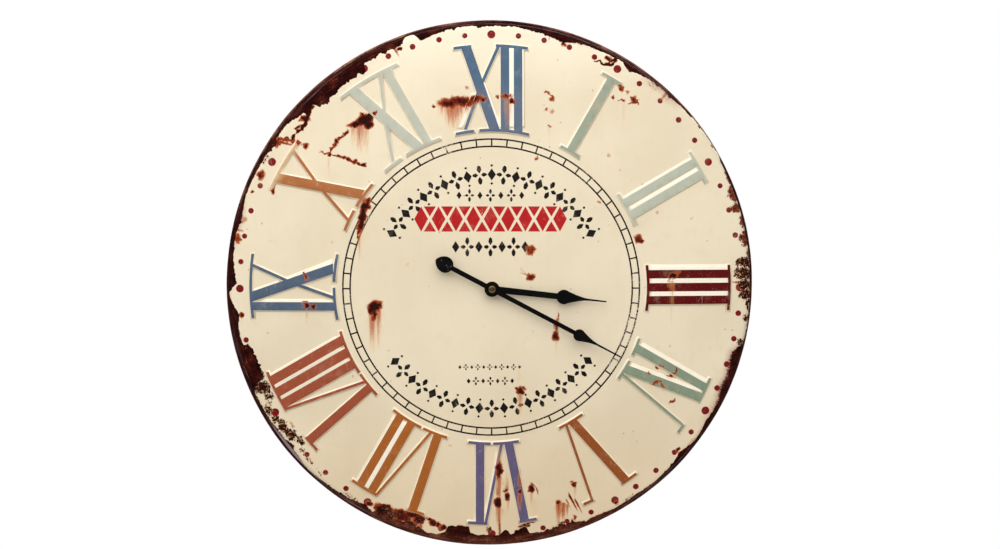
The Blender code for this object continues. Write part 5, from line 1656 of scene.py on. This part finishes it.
def steel_material():
    mat = Material("rusted_steel")
    inner = mat.attr("inner")
    mid = mat.noise(scale=0.10, detail=5, rough=0.65)
    fine = mat.noise(scale=0.75, detail=5, rough=0.7)
    grain = mat.noise(scale=2.4, detail=3, rough=0.7)
    spots = mat.noise(scale=0.34, detail=5, rough=0.72, warp=0.5)
    run = mat.noise(scale=1.0, detail=4, rough=0.6, place=mat.stretch(0.30, 0.30, 0.06))
    radius = mat.vector("LENGTH", {0: mat.stretch(1.0, 0.0, 1.0)}, "Value")
    fleck = grain.sway(0.5, spots).step(0.66, 0.74)
    outside = steel_outside(mat, mid, fine, grain, radius, fleck)
    back = mat.mix(mid.step(0.3, 0.75), srgb(112, 110, 107), srgb(138, 135, 130))
    back = back.mix(run.step(0.5, 0.75) * 0.35, srgb(128, 108, 90))
    freckle = radius.step(165.0, 192.0) * 0.09 + grain.sway(0.3, spots)
    freckle = freckle.step(0.61, 0.66)
    back = back.mix(freckle, mat.ramp(fine, [
        (0.3, srgb(70, 30, 18)), (0.5, srgb(120, 58, 30)), (0.75, srgb(160, 92, 52))]))
    return mat.finish(
        color=mat.mix(inner, outside, back),
        metal=mat.lerp(inner, fleck.linear(-0.08, 0.08), (1.0 - freckle) * 0.7),
        rough=mat.lerp(inner, fleck.linear(0.25, fine.linear(0.25, 0.60)),
                       freckle.linear(0.3, fine.linear(0.25, 0.36))),
        normal=mat.bump(fine * 1.0 + grain * 0.6, strength=0.45, distance=0.3),
        tint=mat.mix(inner, srgb(176, 120, 92), srgb(255, 255, 255)),
        spec=mat.lerp(inner, 0.06, 0.45))


# ---------------------------------------------------------------- other materials
def hand_material():
    """Black paint with a little dust, and bright specks on the minute hand's tail disc."""
    mat = Material("hand_black_worn")
    fine = mat.noise(scale=1.1, detail=4, rough=0.6)
    grain = mat.noise(scale=4.5, detail=2, rough=0.7)
    patches = mat.noise(scale=0.12, detail=4, rough=0.6)
    dust = grain.linear(0.4, patches * 0.7).step(0.5, 0.72)
    colour = mat.mix(fine, srgb(3, 3, 3), srgb(8, 7, 7)).mix(dust * 0.14, srgb(40, 34, 30))
    away = mat.vector("DISTANCE", {0: mat.stretch(1.0, 0.0, 1.0), 1: (-35.0, 0.0, 18.4)},
                      "Value")
    spark = mat.cells(0.55).below(0.12) * away.step(6.0, 4.6)
    colour = colour.mix(spark, srgb(214, 208, 198))
    return mat.finish(color=colour, rough=fine.linear(0.2, 0.34) + dust * 0.25, spec=0.06,
                      normal=mat.bump(grain.linear(0.5, fine), strength=0.25, distance=0.12))


def brass_material(name, light, dark):
    mat = Material(name)
    turn = mat.noise(scale=1.0, detail=3, rough=0.6, place=mat.stretch(0.6, 9.0, 0.6))
    mid = mat.noise(scale=0.6, detail=4, rough=0.6)
    fine = mat.noise(scale=3.0, detail=3, rough=0.6)
    colour = mat.mix(mid.step(0.35, 0.7), srgb(*light), srgb(*dark))
    colour = colour.mix(fine.step(0.56, 0.72) * 0.5, srgb(*(round(v * 0.55) for v in dark)))
    return mat.finish(color=colour, metal=1.0, rough=mid.linear(0.22, 0.16) + turn * 0.1,
                      normal=mat.bump(turn + fine, strength=0.2, distance=0.06))


def zinc_material(name, light, dark, rust):
    """Plated or stamped metal with brown staining."""
    mat = Material(name)
    mid = mat.noise(scale=0.16, detail=4, rough=0.6)
    fine = mat.noise(scale=1.4, detail=4, rough=0.65)
    spangle = mat.cells(0.35, out="Color")
    brush = mat.noise(scale=1.0, detail=3, rough=0.6, place=mat.stretch(0.15, 0.15, 3.0))
    colour = mat.mix(mid.step(0.35, 0.7), srgb(*light), srgb(*dark)).mix(0.08, spangle)
    stain = fine.sway(0.4, mid).step(0.60, 0.72)
    colour = colour.mix(stain * rust, srgb(134, 84, 52))
    return mat.finish(color=colour, metal=1.0 - stain * 0.6,
                      rough=brush.linear(0.22, 0.22) + stain * 0.3,
                      normal=mat.bump(brush + fine, strength=0.18, distance=0.08))


def plastic_material(name, base, worn, grain, rough, dust, spark, metal=0.0):
    """Moulded surface: fine grain, rubbed patches, settled dust; spark is the grain's depth."""
    mat = Material(name)
    mid = mat.noise(scale=0.08, detail=4, rough=0.6)
    fine = mat.noise(scale=grain, detail=3, rough=0.7)
    rub = fine.sway(0.25, mid).step(0.5, 0.7)
    colour = mat.mix(fine * 0.35, srgb(*base), srgb(*worn)).mix(rub * 0.4, srgb(*worn))
    patches = mat.noise(scale=0.3, detail=4, rough=0.65)
    settle = fine.linear(0.4, patches * 0.7).step(0.58, 0.8)
    colour = colour.mix(settle * dust, srgb(128, 118, 106))
    return mat.finish(color=colour, rough=rub.linear(-0.14, rough) + settle * 0.18,
                      metal=metal, normal=mat.bump(fine, strength=spark, distance=0.1))


def copper_material():
    mat = Material("coil_copper_wound")
    wind = mat.node("ShaderNodeTexWave", {"Vector": mat.mm, "Scale": 1.9, "Distortion": 0.5},
                    "Fac", wave_type="BANDS", bands_direction="X", wave_profile="SIN")
    mid = mat.noise(scale=0.6, detail=3, rough=0.6)
    colour = mat.mix(wind, srgb(104, 46, 24), srgb(196, 104, 58))
    colour = colour.mix(mid.step(0.5, 0.8) * 0.4, srgb(80, 44, 30))
    return mat.finish(color=colour, metal=0.8, rough=mid.linear(0.2, 0.24),
                      normal=mat.bump(wind, strength=0.5, distance=0.12))


def wrap_material():
    """Printed battery film with plain bands; the ends are bare steel."""
    mat = Material("battery_film")
    x = mat.split(mat.mm)[0]
    mid = mat.noise(scale=0.2, detail=3, rough=0.6)
    fine = mat.noise(scale=1.8, detail=4, rough=0.6)
    colour = mat.mix(mid.step(0.35, 0.7), srgb(28, 92, 78), srgb(36, 108, 92))
    band = x.step(12.6, 12.8) * x.step(23.5, 23.3)
    colour = colour.mix(band, srgb(196, 160, 92))
    line = x.step(11.2, 11.3) * x.step(11.8, 11.7)
    colour = colour.mix(line, srgb(226, 222, 208))
    drag = mat.noise(scale=1.0, detail=4, rough=0.7, place=mat.stretch(0.2, 1.6, 1.6))
    scuff = drag.linear(0.8, fine * 0.3).step(0.66, 0.8)
    colour = colour.mix(scuff * 0.5, srgb(168, 172, 160))
    end = x.step(23.75, 23.85).max(x.step(-24.3, -24.4))
    colour = colour.mix(end, srgb(170, 168, 160))
    return mat.finish(color=colour, metal=end.max(band * 0.6),
                      rough=mat.lerp(end, scuff.linear(0.3, 0.24), fine.linear(0.2, 0.25)),
                      normal=mat.bump(fine, strength=0.12, distance=0.06))


def board_material():
    mat = Material("board_green_mask")
    weave = (mat.noise(scale=1.0, detail=2, rough=0.5, place=mat.stretch(3.0, 1.0, 0.3))
             * mat.noise(scale=1.0, detail=2, rough=0.5, place=mat.stretch(0.3, 1.0, 3.0)))
    trace = mat.cells(0.45, feature="DISTANCE_TO_EDGE").step(0.05, 0.09)
    mid = mat.noise(scale=0.5, detail=3, rough=0.6)
    colour = mat.mix(trace, srgb(24, 84, 50), srgb(18, 62, 38))
    colour = colour.mix(mid.step(0.5, 0.75) * 0.35, srgb(58, 92, 66))
    return mat.finish(color=colour, rough=mid.linear(0.25, 0.32),
                      normal=mat.bump(weave + trace, strength=0.25, distance=0.06))


STEEL = steel_material()
ENAMEL = paint_material()
HAND = hand_material()
BRASS = brass_material("brass_worn", (224, 190, 120), (188, 146, 80))
# Dark brass for the arbor, whose end shows in the nut's bore: its darkness is a painted shade.
ARBOR = brass_material("brass_arbor_painted_shade", (128, 100, 58), (74, 54, 30))
NUT = brass_material("brass_nut_oiled", (162, 142, 96), (98, 80, 46))
# Material of each slot
FINISH = {
    "cream_enamel": ENAMEL, "hand_black": HAND, "brass": BRASS,
    "zinc_steel": zinc_material("zinc_steel_worn", (176, 176, 172), (136, 137, 136), rust=0.5),
    "black_rubber": plastic_material("rubber_aged", (24, 23, 22), (58, 54, 50),
                                     grain=1.4, rough=0.82, dust=0.5, spark=0.3),
    "case_black": plastic_material("case_black_grain", (26, 26, 28), (58, 57, 58),
                                   grain=2.2, rough=0.52, dust=0.35, spark=0.45),
    "lid_black": plastic_material("lid_black_grain", (32, 32, 34), (66, 65, 66),
                                  grain=1.8, rough=0.44, dust=0.3, spark=0.4),
    "knob_grey": plastic_material("knob_grey_moulded", (104, 104, 102), (150, 149, 146),
                                  grain=1.6, rough=0.48, dust=0.3, spark=0.25),
    "battery_wrap": wrap_material(),
    "nickel_contact": zinc_material("nickel_contact_worn", (206, 200, 184), (168, 160, 144),
                                    rust=0.35),
    "board_green": board_material(),
    "crystal_can": zinc_material("crystal_can_drawn", (208, 208, 206), (168, 168, 168),
                                 rust=0.1),
    "epoxy_black": plastic_material("epoxy_cast", (12, 12, 13), (42, 40, 40),
                                    grain=0.9, rough=0.26, dust=0.25, spark=0.3),
    "coil_copper": copper_material(),
    "core_steel": zinc_material("core_steel_stamped", (158, 154, 148), (112, 108, 104),
                                rust=0.7),
    "gear_white": plastic_material("gear_acetal", (224, 220, 206), (198, 190, 170),
                                   grain=1.1, rough=0.4, dust=0.2, spark=0.18),
    "gear_brass": BRASS,
    "magnet_dark": plastic_material("magnet_bonded", (46, 46, 50), (84, 82, 84), grain=2.4,
                                    rough=0.42, dust=0.25, spark=0.35, metal=0.3),
    "bridge_plastic": plastic_material("bridge_moulded", (120, 120, 118), (156, 154, 150),
                                       grain=1.5, rough=0.5, dust=0.3, spark=0.25),
}


# ---------------------------------------------------------------- pieces
def register(ob, material, node, body):
    ob.data.materials.append(material)
    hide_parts(node)
    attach(ob, body)


paint = build_paint()
paint.data.materials.append(ENAMEL)
pan_body = build_pan()
pan_body.data.materials.append(STEEL)
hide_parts("dial_pan")
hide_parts("dial_pan")
for ob, slot in ((paint, "cream_enamel"), (pan_body, "core_steel")):
    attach(ob, "clock_case")

# Each hand is a flat plate with a collar behind it
minute_outline = hand_outline(tip=108.2, blob=73.1, blob_r=4.45, needle=88.2,
                              bar_in=1.7, bar_out=1.6, tail=True)
hour_outline = hand_outline(tip=85.5, blob=53.5, blob_r=5.4, needle=72.0,
                            bar_in=2.45, bar_out=2.2, tail=False)
minute_bore, hour_bore = circle(1.78, 40), circle(2.78, 48)
minute_hand = extrude("minute_hand_plate", [
    (-16.9, -16.4, [minute_outline, minute_bore]),
    (-16.4, -15.7, [circle(3.6, 40), minute_bore])], turn=117.9)
hour_hand = extrude("hour_hand_plate", [
    (-14.7, -14.2, [hour_outline, hour_bore]),
    (-14.2, -13.4, [circle(4.4, 48), hour_bore])], turn=96.4)
register(minute_hand, HAND, "minute_hand", "minute_group")
register(hour_hand, HAND, "hour_hand", "hour_group")

NUT_R = 2.72
# (radius, depth)
NUT_ROWS = [
    (1.72, -17.0), (NUT_R, -17.0), (NUT_R, -17.9), (NUT_R - 0.05, -18.2), (NUT_R - 0.16, -18.45),
    (NUT_R - 0.32, -18.64), (NUT_R - 0.5, -18.76), (2.04, -18.8), (1.9, -18.74), (1.8, -18.6),
    (1.78, -18.4), (1.86, -18.2), (1.76, -18.1), (1.86, -17.95), (1.76, -17.8), (1.86, -17.65),
    (1.76, -17.5), (1.72, -17.3)]


def slots(k, count):
    """Two slots on opposite sides of the nut."""
    degrees = (k % (count // 2)) * 360.0 / count
    return 0.84 if degrees < 14.0 or degrees > 166.0 else 1.0


register(turned("hand_nut_turned", NUT_ROWS, steps=72, spokes=slots), NUT,
         "hand_nut", "minute_group")

BATTERY_CENTRE = (1.0, -19.4)       # depth, height
# (radius, x)
BATTERY_ROWS = [
    (0.0, -24.9), (5.6, -24.9), (6.5, -24.75), (6.85, -24.4), (7.02, -24.1), (7.1, -23.8),
    (7.1, 23.2), (7.0, 23.5), (6.85, 23.75), (6.5, 23.95), (5.9, 24.1), (3.2, 24.2),
    (2.75, 24.4), (2.7, 25.1), (2.5, 25.3), (0.0, 25.3)]
register(turned("battery_cell", BATTERY_ROWS, steps=64, origin=BATTERY_CENTRE, along_x=True),
         FINISH["battery_wrap"], "battery", "battery_group")

# The CAD pieces get their finish and, where listed, softened edges of this width
SLOTS = {part["node"]: part["material_slot"] for part in frame["record"]["subparts"]}
SOFT = {"case_front": 0.35, "case_lid": 0.3, "hanger_strap": 0.15, "setting_knob": 0.12,
        "bush_nut": 0.12, "dial_washer": 0.08, "rubber_washer": 0.12, "train_bridge": 0.15,
        "stator": 0.06, "coil_core": 0.06, "circuit_board": 0.08, "chip": 0.15, "coil": 0.1}
for node, ob in frame["nodes"].items():
    ob.data.materials.clear()
    ob.data.materials.append(ARBOR if node == "minute_arbor" else FINISH[SLOTS[node]])
    if node in SOFT:
        bevel(ob, "soft", SOFT[node], 38)


# ---------------------------------------------------------------- floor, lights, world (m)
def build_floor():
    """A grey floor that the camera sees as white."""
    half, z = 6, -0.30
    corners = [(-half, -half, z), (half, -half, z), (half, half, z), (-half, half, z)]
    floor = link_object("floor", new_mesh("floor", corners, [(0, 1, 2, 3)]))
    mat = Material("floor_pale")
    patches = mat.noise(scale=0.02, detail=3, rough=0.5)
    mat.finish(color=mat.mix(patches, srgb(150, 150, 149), srgb(154, 154, 153)),
               rough=0.9, spec=0.1)
    glow = mat.node("ShaderNodeEmission", {"Strength": 1.0})
    plain = Field(mat, mat.principled.outputs[0])
    both = mat.node("ShaderNodeMixShader", {0: mat.camera_ray(), 1: plain, 2: glow})
    mat.put(mat.tree.nodes["Material Output"].inputs["Surface"], both)
    floor.data.materials.append(mat.material)


def area(name, at, aim, side, power, colour=(1, 1, 1)):
    light = bpy.data.lights.new(name, "AREA")
    light.shape, light.size, light.size_y = "RECTANGLE", side, side
    light.energy, light.color = power, colour
    ob = link_object(name, light)
    ob.location = at
    ob.rotation_mode = "QUATERNION"
    ob.rotation_quaternion = (Vector(aim) - Vector(at)).to_track_quat("-Z", "Y")


def build_world():
    """White to the camera; for other rays, brighter towards the top."""
    world = bpy.data.worlds.new("studio")
    bpy.context.scene.world = world
    graph = Graph(world)
    up = graph.split(graph.node("ShaderNodeTexCoord", {}, "Generated"))[2]
    sky = graph.node("ShaderNodeMapRange", {"Value": up, "From Min": -0.3, "From Max": 1.0,
                                            "To Min": 0.30, "To Max": 0.70})
    background = graph.tree.nodes["Background"].inputs
    graph.put(background["Strength"], graph.lerp(graph.camera_ray(), sky, 1.0))
    graph.put(background["Color"], (1, 1, 1, 1))


def build_camera():
    camera = link_object("camera", bpy.data.cameras.new("camera"))
    rise, turn, distance = math.radians(3.99), math.radians(-1.614), 0.866
    back = Vector((math.sin(turn) * math.cos(rise), -math.cos(turn) * math.cos(rise),
                   math.sin(rise)))
    camera.location = Vector((0.0, SHIFT * MM, 0.0)) + back * distance
    camera.rotation_mode = "QUATERNION"
    camera.rotation_quaternion = (-back).to_track_quat("-Z", "Y")
    camera.data.lens, camera.data.sensor_width = 41.54, 36.0
    camera.data.shift_x, camera.data.shift_y = 0.008573, 0.013244
    camera.data.clip_start, camera.data.clip_end = 0.01, 50.0
    bpy.context.scene.camera = camera


build_floor()
area("key", at=(-0.30, -1.12, 1.22), aim=(0.0, 0.0, 0.03), side=2.2, power=33.6,
     colour=(1.0, 0.985, 0.965))
area("fill", at=(1.0, -1.2, 0.35), aim=(0.0, 0.0, 0.0), side=1.2, power=1.0)
area("rear", at=(0.45, 1.25, 1.0), aim=(0.0, 0.0, 0.0), side=0.9, power=24.0)
build_world()
bpy.context.scene.view_settings.view_transform = "Standard"
build_camera()
